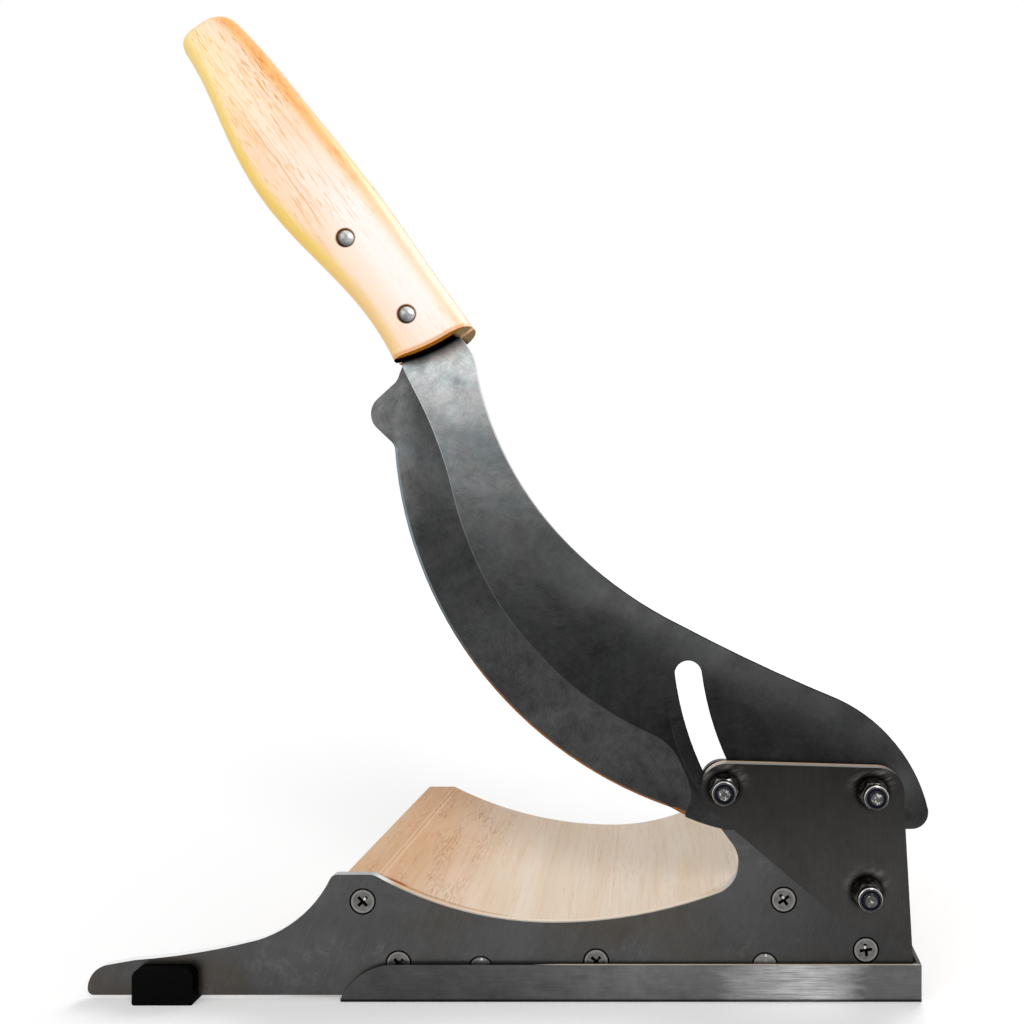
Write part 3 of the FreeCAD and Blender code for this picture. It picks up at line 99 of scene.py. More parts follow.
class Look:
    """A material built node by node; the methods that make a value return its socket."""

    def __init__(self, name, roughness, metallic=0.0):
        self.material = bpy.data.materials.new(name)
        self.material.use_nodes = True
        self.tree = self.material.node_tree
        self.shader = self.tree.nodes["Principled BSDF"]
        self.shader.inputs["Metallic"].default_value = metallic
        self.shader.inputs["Roughness"].default_value = roughness
        self.place = self.add("ShaderNodeTexCoord").outputs["Object"]

    def add(self, kind, **settings):
        node = self.tree.nodes.new(kind)
        for name, value in settings.items():
            setattr(node, name, value)
        return node

    def put(self, socket, value):
        """Links a value to a socket, or writes a number or colour into it."""
        if isinstance(value, bpy.types.NodeSocket):
            self.tree.links.new(value, socket)
        else:
            socket.default_value = value

    def turned(self, vector, axis, degrees):
        node = self.add("ShaderNodeVectorRotate")
        self.put(node.inputs["Vector"], vector)
        node.inputs["Axis"].default_value = axis
        node.inputs["Angle"].default_value = math.radians(degrees)
        return node.outputs["Vector"]

    def stretched(self, vector, scale, shift=(0.0, 0.0, 0.0)):
        node = self.add("ShaderNodeMapping")
        self.put(node.inputs["Vector"], vector)
        node.inputs["Location"].default_value = shift
        node.inputs["Scale"].default_value = scale
        return node.outputs["Vector"]

    def moved(self, x, z):
        """The place moved by X and Z, where a noise looks different."""
        return self.stretched(self.place, (1, 1, 1), (x, 0, z))

    def noise(self, vector, scale=1.0, detail=2.0, rough=0.5, twist=0.0):
        node = self.add("ShaderNodeTexNoise")
        self.put(node.inputs["Vector"], vector)
        node.inputs["Scale"].default_value = scale
        node.inputs["Detail"].default_value = detail
        node.inputs["Roughness"].default_value = rough
        node.inputs["Distortion"].default_value = twist
        return node.outputs[0]

    def span(self, value, low, high, to_low=0.0, to_high=1.0, smooth=False):
        """The value carried from one range to another and held at its ends."""
        node = self.add("ShaderNodeMapRange")
        if smooth:
            node.interpolation_type = "SMOOTHSTEP"
        self.put(node.inputs[0], value)
        for index, number in enumerate((low, high, to_low, to_high), start=1):
            node.inputs[index].default_value = number
        return node.outputs[0]

    def band(self, value, low, high, soft):
        """1 from low to high, and fading to 0 over a soft margin on both sides."""
        rise = self.span(value, low - soft, low)
        return self.math("MULTIPLY", rise, self.span(value, high, high + soft, 1.0, 0.0))

    def math(self, operation, first, second=0.0):
        node = self.add("ShaderNodeMath", operation=operation)
        self.put(node.inputs[0], first)
        self.put(node.inputs[1], second)
        return node.outputs[0]

    def product(self, *factors):
        total = factors[0]
        for factor in factors[1:]:
            total = self.math("MULTIPLY", total, factor)
        return total

    def inverse(self, share):
        return self.math("SUBTRACT", 1.0, share)

    def mix(self, share, first, second, blend="MIX"):
        node = self.add("ShaderNodeMix", data_type="RGBA", blend_type=blend)
        self.put(node.inputs[MIX_SHARE], share)
        self.put(node.inputs[MIX_FIRST], first)
        self.put(node.inputs[MIX_SECOND], second)
        return node.outputs[MIX_RESULT]

    def tinted(self, base, colour, share=1.0):
        """The base multiplied by a colour."""
        return self.mix(share, base, colour, "MULTIPLY")

    def ramp(self, value, stops):
        """A grey that follows a value through its stops, each a value and a display level."""
        node = self.add("ShaderNodeValToRGB")
        low, high = stops[0][0], stops[-1][0]
        self.put(node.inputs[0], self.span(value, low, high))
        points = node.color_ramp.elements
        points.remove(points[1])
        for place, level in stops:
            point = points[0] if place == low else points.new((place - low) / (high - low))
            point.color = grey(level)
        return node.outputs[0]

    def parts(self, vector):
        node = self.add("ShaderNodeSeparateXYZ")
        self.put(node.inputs[0], vector)
        return node.outputs

    def normal(self):
        return self.add("ShaderNodeNewGeometry").outputs["Normal"]

    def facing(self, axis):
        """How squarely the surface faces along an axis, from -1 to 1."""
        return self.parts(self.normal())[axis]

    def squareness(self):
        """How squarely the surface faces the front or the back, from 0 to 1."""
        return self.math("ABSOLUTE", self.facing(1))

    def from_axis(self, first, second, place):
        """Distance of two coordinates from a place in millimetres."""
        run = self.math("SUBTRACT", first, place[0] * MM)
        rise = self.math("SUBTRACT", second, place[1] * MM)
        squares = self.math("ADD", self.math("MULTIPLY", run, run),
                            self.math("MULTIPLY", rise, rise))
        return self.math("SQRT", squares)

    def brushing(self, angle, short=1.0):
        """Fine lines along one direction of the front plane."""
        along = self.turned(self.place, ACROSS, angle)
        fine = self.noise(self.stretched(along, (170.0 * short, 170.0 * short, 2900.0)),
                          detail=2.0)
        long = self.noise(self.stretched(along, (45.0 * short, 45.0 * short, 1300.0),
                                         (0.7, 0, 0.3)), detail=2.0)
        return self.math("ADD", self.product(fine, 0.6), self.product(long, 0.4))

    def colour(self, value):
        self.put(self.shader.inputs["Base Color"], value)

    def rough(self, value):
        self.put(self.shader.inputs["Roughness"], value)

    def metal(self, value):
        self.put(self.shader.inputs["Metallic"], value)

    def gloss(self, value):
        self.put(self.shader.inputs["Specular IOR Level"], value)

    def bump(self, height, strength, distance):
        """Adds a bump on top of those that the shader has."""
        node = self.add("ShaderNodeBump")
        self.put(node.inputs["Height"], height)
        node.inputs["Strength"].default_value = strength
        node.inputs["Distance"].default_value = distance
        before = self.shader.inputs["Normal"]
        if before.is_linked:
            self.put(node.inputs["Normal"], before.links[0].from_socket)
        self.put(before, node.outputs["Normal"])


def grey(level, warmth=0.0):
    """A linear colour from a display level; warmth above zero leans to brown."""
    linear = (level / 255.0) ** GAMMA
    return (linear * (1 + warmth), linear, linear * (1 - warmth), 1.0)


def shade(red, green, blue):
    """A linear colour from display levels."""
    return tuple((level / 255.0) ** GAMMA for level in (red, green, blue)) + (1.0,)


def steel(name, brush_angle, roughness, clouds=0.16, hatch=0.14, warmth=0.0, crossed=False):
    """Sheet steel: a soft cloudy tone with fine hatching along the brushing, or in all ways."""
    look = Look(name, roughness, metallic=1.0)
    cloud = look.noise(look.place, scale=34.0, detail=5.0, rough=0.62, twist=0.6)
    spots = look.noise(look.moved(3.1, 1.7), scale=240.0, detail=4.0, rough=0.65)
    cloudy = look.math("ADD", look.product(cloud, 0.7), look.product(spots, 0.3))
    grain = look.brushing(brush_angle, short=2.4 if crossed else 1.0)
    if crossed:
        for turn, shift in ((55.0, 0.9), (-40.0, 4.6)):
            patch = look.noise(look.moved(shift, 2.3), scale=110.0, detail=2.0)
            grain = look.mix(look.span(patch, 0.48, 0.56), grain,
                             look.brushing(brush_angle + turn, short=3.2))
    level = look.math("ADD", look.span(cloudy, 0.36, 0.64, 1 - clouds, 1 + clouds),
                      look.span(grain, 0.32, 0.68, -hatch, hatch))
    base = look.tinted(grey(255, warmth), level)
    look.rough(look.span(grain, 0.3, 0.7, roughness + 0.06, roughness - 0.05))
    look.bump(grain, strength=0.2, distance=0.00003)
    return look, base


def bright_steel(name, level, roughness, warmth=0.0):
    """Plated or turned steel of the small fasteners."""
    look = Look(name, roughness, metallic=1.0)
    clouds = look.noise(look.place, scale=420.0, detail=4.0, rough=0.6)
    base = look.mix(look.span(clouds, 0.35, 0.65), grey(level * 0.78, warmth),
                    grey(level, warmth))
    look.rough(look.span(clouds, 0.3, 0.7, roughness - 0.06, roughness + 0.08))
    look.bump(look.noise(look.place, scale=900.0, detail=3.0), strength=0.2, distance=0.00004)
    return look, base


def wood(name, along, pale, middle, deep, roughness, coat=0.0):
    """Hardwood with its grain along the X axis of the turned coordinates."""
    look = Look(name, roughness)
    vector = along(look)
    wave = look.noise(look.stretched(vector, (7.0, 45.0, 45.0)), detail=3.0, twist=1.0)
    streak = look.noise(look.stretched(vector, (26.0, 620.0, 620.0)), detail=3.0, rough=0.6)
    base = look.mix(look.span(wave, 0.4, 0.66, smooth=True), pale, middle)
    base = look.mix(look.span(streak, 0.5, 0.7, to_high=0.4), base, deep)
    ring = look.math("FRACT", look.product(wave, 9.0))
    base = look.mix(look.product(look.band(ring, 0.48, 0.52, soft=0.05), 0.22), base, deep)
    look.rough(look.span(streak, 0.3, 0.7, roughness - 0.05, roughness + 0.08))
    look.bump(streak, strength=0.2, distance=0.0001)
    look.shader.inputs["Coat Weight"].default_value = coat
    look.shader.inputs["Coat Roughness"].default_value = 0.15
    return look, base


def pores(look, base, vector, scale, limit, colour, where):
    """Fine dark dashes along the grain, in patches."""
    dash = look.noise(look.stretched(vector, scale, (1.3, 4.1, 0.6)), detail=1.0)
    patch = look.noise(look.stretched(vector, (30.0, 90.0, 90.0), (5.3, 0.2, 2.2)), detail=2.0)
    dots = look.product(look.span(dash, limit, limit + 0.05), look.span(patch, 0.44, 0.58),
                        where)
    return look.mix(dots, base, colour)


# ---------------------------------------------------------------- materials

def clear_coats(obj):
    """Takes the plain materials off an object and sends all its faces to the first slot."""
    obj.data.materials.clear()
    for face in obj.data.polygons:
        face.material_index = 0


def dress(look, base, *names):
    """Gives the look its colour, and nodes of the CAD that look."""
    look.colour(base)
    for name in names:
        node = NODES[name]
        clear_coats(node)
        node.data.materials.append(look.material)


def round_head(name):
    """Centre of a round node, as X and Z in millimetres, and its radius in metres."""
    low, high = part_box(name)
    return [(low[axis] + high[axis]) / 2 / MM for axis in (0, 2)], (high[0] - low[0]) / 2


def handle_axes(look):
    """Coordinates of the handle, from its sawn end towards the butt along X."""
    start = look.add("ShaderNodeVectorMath", operation="SUBTRACT")
    look.put(start.inputs[0], look.place)
    start.inputs[1].default_value = (HANDLE_START_MM[0] * MM, 0.0, HANDLE_START_MM[1] * MM)
    return look.turned(start.outputs[0], ACROSS, HANDLE_ANGLE)


def block_axes(look):
    """Coordinates of the block, whose grain runs from front to back."""
    return look.turned(look.place, UP, 86.0)


def dress_handle():
    """Pale handle: flecks, a painted highlight near the blade, and sides painted browner near the
    butt as shade.
    """
    look, base = wood("handle_wood", handle_axes, pale=shade(253, 230, 207),
                      middle=shade(250, 215, 182), deep=shade(242, 186, 130),
                      roughness=0.42, coat=HANDLE_COAT)
    axes = handle_axes(look)
    run, _, down = look.parts(axes)
    ahead, _, side = look.parts(look.turned(look.normal(), ACROSS, HANDLE_ANGLE))
    base = handle_grain(look, base, axes, run, down)
    base = handle_sides(look, base, run, down, ahead, side)
    x, y, z = look.parts(look.place)
    base = sawn_end(look, base, run, down, ahead, y)
    for number in (1, 2):
        centre, radius = round_head(f"handle_rivet_{number}")
        away = look.from_axis(x, z, centre)
        base = look.mix(look.span(away, radius + 0.0006, radius + 0.0001, to_high=0.8), base,
                        shade(140, 82, 34))
    dress(look, base, "handle")


def handle_grain(look, base, axes, run, down):
    """The painted highlight near the blade, the pores, the flecks near the butt and three long
    lines.
    """
    # painted highlight: near white near the blade
    pale_highlight = look.product(look.band(run, 0.012, 0.06, soft=0.04),
                            look.span(down, 0.012, -0.003), 0.85)
    base = look.mix(pale_highlight, base, shade(255, 248, 243))
    base = pores(look, base, axes, (170.0, 2300.0, 2300.0), 0.59, shade(230, 158, 66),
                 look.span(run, 0.05, 0.11, to_low=0.25))
    dash = look.noise(look.stretched(axes, (150.0, 2000.0, 2000.0), (2.9, 0.4, 7.7)),
                      detail=1.0)
    flecks = look.product(look.span(dash, 0.59, 0.65), look.span(run, 0.085, 0.115), 0.75)
    base = look.mix(flecks, base, shade(232, 164, 74))
    wobble = look.noise(look.stretched(axes, (40.0, 1.0, 1.0)), detail=2.0)
    across = look.math("ADD", down, look.product(wobble, 0.003))
    for place, share in ((0.0089, 0.6), (0.0066, 0.3), (-0.004, 0.25)):
        line = look.product(look.band(across, place - 0.0002, place + 0.0002, soft=0.0003),
                            look.band(run, 0.066, 0.11, soft=0.01), share)
        base = look.mix(line, base, shade(232, 170, 106))
    return base


def handle_sides(look, base, run, down, ahead, side):
    """Painted shading by the way the surface faces: browner towards the upper side, yellower
    towards the lower side and the butt.
    """
    painted_brown = look.mix(look.span(run, 0.03, 0.08), shade(252, 226, 198), shade(250, 204, 138))
    painted_brown = look.mix(look.span(run, 0.09, 0.125), painted_brown, shade(250, 196, 118))
    # painted shade: browner on the faces turned to the upper side
    base = look.tinted(base, painted_brown, look.span(side, -0.16, -0.78, smooth=True))
    painted_yellow = look.mix(look.band(run, 0.055, 0.15, soft=0.03), shade(255, 212, 138),
                      shade(255, 215, 84))
    # painted shading: yellower on the faces turned to the lower side
    base = look.mix(look.span(side, 0.05, 0.6, to_high=0.85, smooth=True), base, painted_yellow)
    base = look.mix(look.span(side, 0.6, 0.95, to_high=0.5), base, shade(250, 182, 54))
    butt = look.product(look.span(run, 0.1, 0.14), look.span(down, -0.006, 0.01), 0.6)
    base = look.mix(butt, base, shade(255, 224, 140))
    return look.mix(look.span(ahead, 0.2, 0.8, to_high=0.8), base, shade(254, 206, 110))


def sawn_end(look, base, run, down, ahead, y):
    """A brown rim, and an end that is brown at the front and painted black as shade but for one
    corner.
    """
    from_end = look.from_axis(run, down, END_CENTRE_MM)
    rim = look.product(
        look.span(from_end, (END_RADIUS_MM - 1.9) * MM, (END_RADIUS_MM - 1.0) * MM),
        look.span(run, 0.03, 0.02), 0.7)
    base = look.mix(rim, base, shade(222, 146, 62))
    # painted shade: the end face near black but for one corner
    end = look.mix(look.span(down, -0.0085, -0.0105), shade(12, 8, 5), shade(150, 128, 98))
    end = look.mix(look.band(y, -0.07, -0.0566, soft=0.0008), end, shade(176, 106, 36))
    sawn = look.span(ahead, -0.35, -0.75)
    look.gloss(look.span(sawn, 0.0, 1.0, to_low=0.5, to_high=0.0))
    look.put(look.shader.inputs["Coat Weight"],
             look.span(sawn, 0.0, 1.0, to_low=HANDLE_COAT, to_high=0.0))
    return look.mix(sawn, base, end)


def dress_block():
    """Block, pink and tan at its nose end, with two pale creases, a browner rear edge, and
    painted shade towards its back and along its front.
    """
    look, base = wood("block_wood", block_axes, pale=shade(222, 207, 189),
                      middle=shade(217, 198, 175), deep=shade(203, 174, 146), roughness=0.62)
    axes = block_axes(look)
    x, y, _ = look.parts(look.place)
    blush = look.noise(look.stretched(look.place, (40, 12, 12), (0.4, 0, 0)), detail=2.0)
    pink = look.product(look.span(x, 0.0, -0.06), look.span(blush, 0.42, 0.6), 0.35)
    base = look.tinted(base, shade(250, 226, 208), pink)
    base = look.tinted(base, shade(246, 244, 243), look.span(x, 0.05, 0.0, to_high=0.9))
    base = look.tinted(base, shade(236, 210, 184), look.span(x, -0.065, -0.1, smooth=True))
    base = pores(look, base, axes, (150.0, 1700.0, 1700.0), 0.66, shade(166, 120, 88), 0.4)
    base = pores(look, base, axes, (260.0, 2200.0, 2200.0), 0.54, shade(160, 104, 62),
                 look.product(look.band(x, -0.1, -0.082, soft=0.025), 0.6))
    # painted shade: greyer towards the back, where the blade's shadow lies
    base = look.tinted(base, shade(242, 241, 240), look.span(y, 0.0, 0.047, to_high=0.6))
    for place in (BLOCK_CREASE_MM, BLOCK_CREASE_MM + CREASE_SPACING_MM):
        crease = look.band(x, (place - 0.1) * MM, (place + 0.1) * MM, soft=0.0004)
        base = look.mix(look.product(crease, 0.2), base, shade(250, 232, 206))
    rear_edge = look.span(x, 0.1135, 0.115)
    # painted shadow: a brown line along the front edge by the nose
    front = look.product(look.span(y, -0.0438, -0.0446),
                         look.band(x, -0.099, -0.095, soft=0.003))
    base = look.tinted(base, shade(206, 152, 104), look.math("MAXIMUM", rear_edge, front))
    dress(look, base, "wood_block")


def dress_channel():
    """Brushed channel with painted light: a bright zone, a dark bottom bend and cut edges, and a
    pale lip by a dark gap.
    """
    look, base = steel("channel_steel", brush_angle=0.0, roughness=0.34, clouds=0.2, hatch=0.12)
    x, y, z = look.parts(look.place)
    stray = look.noise(look.stretched(look.place, (60.0, 200.0, 260.0)), detail=4.0, rough=0.6)
    reach = look.math("ADD", x, look.span(stray, 0.3, 0.7, -0.006, 0.006))
    # painted highlight: the bright zone in the channel's levels
    base = look.tinted(base, look.ramp(reach, CHANNEL_LEVELS_WITH_HIGHLIGHT))
    streaks = look.noise(look.stretched(look.place, (70.0, 200.0, 1900.0)), detail=3.0,
                         rough=0.6)
    base = look.mix(look.product(look.band(x, 0.052, 0.08, soft=0.015),
                                 look.span(streaks, 0.44, 0.62, to_high=0.6)), base, grey(120))
    # painted shade: near black along the bottom bend
    base = look.mix(look.span(z, 0.0018, 0.001, to_high=0.9), base, grey(12))
    # painted shade: the cut edges near black, but for those at the rear end
    sawn = look.product(look.span(look.squareness(), 0.5, 0.2), look.span(x, 0.1, 0.09))
    base = look.mix(sawn, base, grey(12))
    # painted highlight and shade: the lip pale in the middle, near black towards its ends, and
    # near black on its inner side as the gap's shadow
    lip_light_and_shade = look.mix(look.band(x, -0.03, 0.113, soft=0.01), grey(10), shade(224, 210, 192))
    lip_light_and_shade = look.mix(look.span(look.math("ABSOLUTE", y), 0.0483, 0.048), lip_light_and_shade, grey(8))
    top = look.span(look.facing(2), 0.4, 0.7)
    look.metal(look.inverse(top))
    dress(look, look.mix(top, base, lip_light_and_shade), "base_channel")


def dress_plate():
    """Grey plate with brown blotches, countersinks painted black as shade, and cut edges painted
    with the wood's reflection.
    """
    look, base = steel("plate_steel", brush_angle=66.0, roughness=0.4, clouds=0.12, hatch=0.1)
    x, y, z = look.parts(look.place)
    base = look.tinted(base, look.ramp(x, PLATE_LEVELS))
    blots = look.noise(look.moved(7.3, 0.4), scale=26.0, detail=3.0, rough=0.55)
    base = look.tinted(base, shade(255, 241, 225), look.span(blots, 0.5, 0.62, to_high=0.8))
    scuffs = look.noise(look.moved(1.9, 6.6), scale=170.0, detail=5.0, rough=0.7)
    worn = look.noise(look.moved(8.1, 0.2), scale=22.0, detail=2.0)
    worn = look.product(look.span(scuffs, 0.5, 0.66), look.span(worn, 0.54, 0.64), 0.4)
    base = look.mix(worn, base, grey(118))
    # cut edges: bare steel up to the crescent, then painted reflections of the wood beside them
    mirrors_wood = look.span(x, -0.101, -0.097)
    edge = look.mix(look.span(x, -0.112, -0.15), grey(190), grey(236))
    cut = look.mix(look.span(x, -0.095, -0.055), shade(206, 172, 140), shade(216, 199, 178))
    cut = look.mix(look.span(y, -0.0462, -0.0466), cut, shade(150, 146, 138))
    # painted highlight: a pale blue band at the throat
    cut = look.mix(look.band(x, 0.042, 0.06, soft=0.008), cut, shade(196, 202, 214))
    edge = look.mix(mirrors_wood, edge, cut)
    edge = look.mix(look.span(z, 0.05, 0.056), edge, grey(26))
    edge = look.mix(look.span(look.facing(2), 0.0, 0.25), grey(24), edge)
    square = look.squareness()
    side = look.span(square, 0.5, 0.2)
    look.metal(look.inverse(look.product(side, mirrors_wood)))
    base = look.mix(side, base, edge)
    # painted shade: the countersinks near black
    countersink_shade = look.band(square, 0.55, 0.85, soft=0.05)
    dress(look, look.mix(countersink_shade, base, grey(7)), "side_plate")


def dress_bracket():
    """Darker plate: a pale top edge as painted highlight, and rub marks, painted reflections and
    painted shadow in rings round its nuts.
    """
    look, base = steel("bracket_steel", brush_angle=88.0, roughness=0.38, clouds=0.14,
                       hatch=0.08, warmth=0.04)
    x, y, z = look.parts(look.place)
    base = look.tinted(base, look.ramp(z, BRACKET_LEVELS))
    rub = look.noise(look.stretched(look.turned(look.place, ACROSS, 25.0), (120.0, 90.0, 420.0)),
                     detail=4.0, rough=0.6)
    for pin in PINS_MM:
        away = look.from_axis(x, z, pin)
        above = look.span(z, (pin[1] - 1.0) * MM, (pin[1] + 3.5) * MM)
        # rub marks and painted reflections of the nuts, above each nut
        rub_and_reflection = look.product(look.band(away, 0.0066, 0.0078, soft=0.004), above,
                            look.span(rub, 0.42, 0.66), 0.5)
        base = look.mix(rub_and_reflection, base, grey(116, 0.08))
        # painted shadow: a dark ring round each nut
        base = look.mix(look.span(away, 0.0082, 0.0064, to_high=0.85), base, grey(14))
    # painted highlight: the top edge pale
    top = look.mix(look.span(y, -0.0521, -0.0516), grey(172, 0.03), shade(214, 184, 152))
    top = look.mix(look.span(x, 0.1, 0.108), top, grey(90, 0.06))
    # painted shade: the cut edges that don't face up dark
    edge = look.mix(look.span(look.facing(2), 0.35, 0.85), grey(22), top)
    side = look.span(look.squareness(), 0.6, 0.3)
    look.metal(look.inverse(side))
    dress(look, look.mix(side, base, edge), "bracket_plate")


def dress_nuts():
    """Plated nuts: dark flats with painted light on a few places that face up, and a painted
    highlight on the collar's rim.
    """
    look, base = bright_steel("nut_steel", 72, roughness=0.22, warmth=0.05)
    x, _, z = look.parts(look.place)
    away = look.from_axis(x, z, PINS_MM[0])
    for pin in PINS_MM[1:]:
        away = look.math("MINIMUM", away, look.from_axis(x, z, pin))
    ahead = look.math("MULTIPLY", look.facing(1), -1.0)
    glare = look.noise(look.place, scale=420.0, detail=3.0, rough=0.6)
    # painted reflections on a few places that face up
    painted_light = look.product(look.span(look.facing(2), 0.2, 0.7), look.span(glare, 0.5, 0.62))
    base = look.mix(painted_light, base, grey(140, 0.1))
    # painted highlight on the collar's rim
    collar = look.span(away, 0.0052, 0.0049)
    base = look.mix(look.product(collar, look.band(ahead, 0.35, 0.72, soft=0.08)), base,
                    grey(214, 0.02))
    base = look.mix(look.span(ahead, 0.97, 1.0), base, grey(70))
    dress(look, base, "front_nut", "rear_nut", "lower_nut")


def dress_bolts():
    """Dull washers, and bolts with chipped ends; the pieces between the plates match them."""
    look, base = bright_steel("washer_steel", 60, roughness=0.3, warmth=0.05)
    dress(look, base, "front_washer", "rear_washer", "lower_washer")
    look, base = bright_steel("bolt_steel", 88, roughness=0.34, warmth=0.02)
    chips = look.noise(look.place, scale=800.0, detail=3.0, rough=0.7)
    base = look.mix(look.span(chips, 0.52, 0.62), base, grey(186))
    base = look.mix(look.span(look.squareness(), 0.9, 0.7), base, grey(40))
    dress(look, base, "front_bolt", "rear_bolt", "lower_bolt", "front_pin_sleeve",
          "rear_pin_bush", "lower_spacer")


def dress_screw(number):
    """Turned screw head: a cross recess painted black as shade, with a painted glint at its
    bottom.
    """
    name = f"plate_screw_{number}"
    centre, _ = round_head(name)
    look, base = bright_steel(name + "_steel", 122, roughness=0.34, warmth=0.04)
    x, y, z = look.parts(look.place)
    away = look.from_axis(x, z, centre)
    base = look.mix(look.band(away, 0.0041, 0.0045, soft=0.0003), base, grey(130, 0.04))
    # painted shade in the cross recess, with a painted glint at its bottom
    recess = look.span(y, (FRONT_Y_MM + 0.2) * MM, (FRONT_Y_MM + 0.5) * MM)
    recess_shade_and_glint = look.mix(look.span(away, 0.0008, 0.0004), grey(8), grey(235))
    dress(look, look.mix(recess, base, recess_shade_and_glint), name)


def dress_pin(number):
    """Plain turned head with a glint near the top."""
    name = f"plate_pin_{number}"
    centre, _ = round_head(name)
    look, base = bright_steel(name + "_steel", 150, roughness=0.4, warmth=0.05)
    x, _, z = look.parts(look.place)
    glint = look.from_axis(x, z, (centre[0] + 0.4, centre[1] + 4.0))
    dress(look, look.mix(look.span(glint, 0.0006, 0.0003), base, grey(245)), name)


def dress_rivets():
    """Domed rivets with painted light: a highlight on the side that faces up and right, and shade
    beneath.
    """
    look, base = bright_steel("rivet_steel", 172, roughness=0.24)
    x, _, z = look.parts(look.normal())
    painted_light = look.math("ADD", look.product(x, 0.45), look.product(z, 0.55))
    # painted light: shade on the side turned down and left, a highlight on the side turned up and
    # right
    base = look.mix(look.span(painted_light, 0.05, -0.5), base, grey(62, 0.03))
    base = look.mix(look.span(painted_light, 0.12, 0.3), base, grey(225))
    dress(look, base, "handle_rivet_1", "handle_rivet_2")


def dress_inserts():
    """Dark blue nylon rings of the lock nuts."""
    look = Look("insert_nylon", roughness=0.35)
    cloud = look.noise(look.place, scale=700.0, detail=3.0)
    look.bump(cloud, strength=0.2, distance=0.00005)
    look.gloss(0.08)
    dress(look, look.mix(cloud, shade(3, 5, 14), shade(12, 16, 42)),
          "front_nut_insert", "rear_nut_insert", "lower_nut_insert")


def dress_foot():
    """Black rubber with an uneven, finely pitted face."""
    look = Look("foot_rubber", roughness=0.5)
    look.gloss(0.03)
    cloud = look.noise(look.place, scale=160.0, detail=5.0, rough=0.7)
    look.rough(look.span(cloud, 0.3, 0.7, 0.4, 0.7))
    look.bump(cloud, strength=0.5, distance=0.0003)
    look.bump(look.noise(look.place, scale=1800.0, detail=2.0), strength=0.3, distance=0.00005)
    dress(look, look.mix(cloud, shade(1, 1, 2), shade(7, 8, 9)), "nose_foot")


def dress_base_screws():
    look, base = bright_steel("base_screw_steel", 140, roughness=0.34, warmth=0.04)
    dress(look, base, *[f"base_screw_{number}" for number in range(1, 5)])


def dress_frame():
    dress_channel()
    dress_plate()
    dress_bracket()
    dress_nuts()
    dress_bolts()
    for number in range(1, 6):
        dress_screw(number)
    for number in range(1, 3):
        dress_pin(number)
    dress_rivets()
    dress_handle()
    dress_block()
    dress_inserts()
    dress_foot()
    dress_base_screws()


# ---------------------------------------------------------------- blade

# Slots of the blade's materials, by the zones of its surface.
FLAT, GROUND, CUT, RIDGE, HONED = range(5)

# Arc of the cutting edge.
EDGE_CENTRE_MM = Vector((70.4, 237.9))
EDGE_RADIUS_MM = 167.5
# Width, extra depth, first and last degree on the arc, and top of the honed edge.
HONED_MM = 1.3
HONE_DEPTH_MM = 0.5
HONED_ANGLES = (184.0, 250.0)
HONED_TOP_MM = 226.5
# Width of the ridge along the ground face, depth of that face, spacing of its points, and
# how far they stay from its lines.
RIDGE_MM = 0.35
GRIND_DEPTH_MM = 1.6
GRIND_SPACING_MM = 3.0
GRIND_MARGIN_MM = 1
# Rub mark beside the front slot: centre and radius of its arc.
RUB_CENTRE_MM = (85.2, 127.3)
RUB_RADIUS_MM = 70.0
# Places that are closer than this are one place; the second is for the splitting of faces.
SAME_MM = 1e-3
SPLIT_MM = 1e-5

# Line where the ground face begins, from the handle down to the cutting edge.
GRIND_LINE_MM = (
    (-95, 264), (-92, 258), (-82, 238), (-75, 219), (-69, 197), (-61, 177), (-50, 158),
    (-36, 141.5), (-22, 128.4), (-8.4, 119.1), (1.7, 113.3), (9.5, 109.6), (14.6, 106.2),
    (18.6, 101.5), (21.7, 95.4), (23.7, 90), (24.7, 84.6), (23, 79.5), (21, 72))
# Closes the grind line into a region that holds the whole ground face.
GRIND_SIDE_MM = ((21, 40), (-170, 40), (-170, 264))


def through_points(points, steps=10):
    """A smooth line through the given points."""
    points = [Vector(point) for point in points]
    ends = [points[0] * 2 - points[1]] + points + [points[-1] * 2 - points[-2]]
    line = []
    for index in range(1, len(ends) - 2):
        before, first, last, after = ends[index - 1:index + 3]
        for step in range(steps):
            t = step / steps
            line.append(0.5 * (
                first * 2 + (last - before) * t
                + (before * 2 - first * 5 + last * 4 - after) * t ** 2
                + (first * 3 - before - last * 3 + after) * t ** 3))
    return line + [points[-1]]


def inside(point, loop):
    """Even-odd test of a point against a closed loop."""
    odd = False
    for index, first in enumerate(loop):
        last = loop[index - 1]
        if (first.y > point.y) != (last.y > point.y):
            crossing = first.x + (point.y - first.y) * (last.x - first.x) / (last.y - first.y)
            odd ^= point.x < crossing
    return odd


def distance(point, line):
    """Distance from a point to a chain of pairs of points."""
    best = math.inf
    for first, last in line:
        way = last - first
        share = (point - first).dot(way) / max(way.length_squared, 1e-12)
        best = min(best, (point - first - way * max(0.0, min(1.0, share))).length)
    return best


def from_edge(point):
    """Distance from a point to the arc of the cutting edge."""
    return abs((point - EDGE_CENTRE_MM).length - EDGE_RADIUS_MM)


def pairs(line, closed=False):
    """The points of a line in pairs, each with the next."""
    linked = list(zip(line, line[1:]))
    return linked + [(line[-1], line[0])] if closed else linked


def beside(line, reach):
    """The line moved to its right by a distance."""
    moved = []
    for index, point in enumerate(line):
        way = (line[min(index + 1, len(line) - 1)] - line[max(index - 1, 0)]).normalized()
        moved.append(point + Vector((way.y, -way.x)) * reach)
    return moved


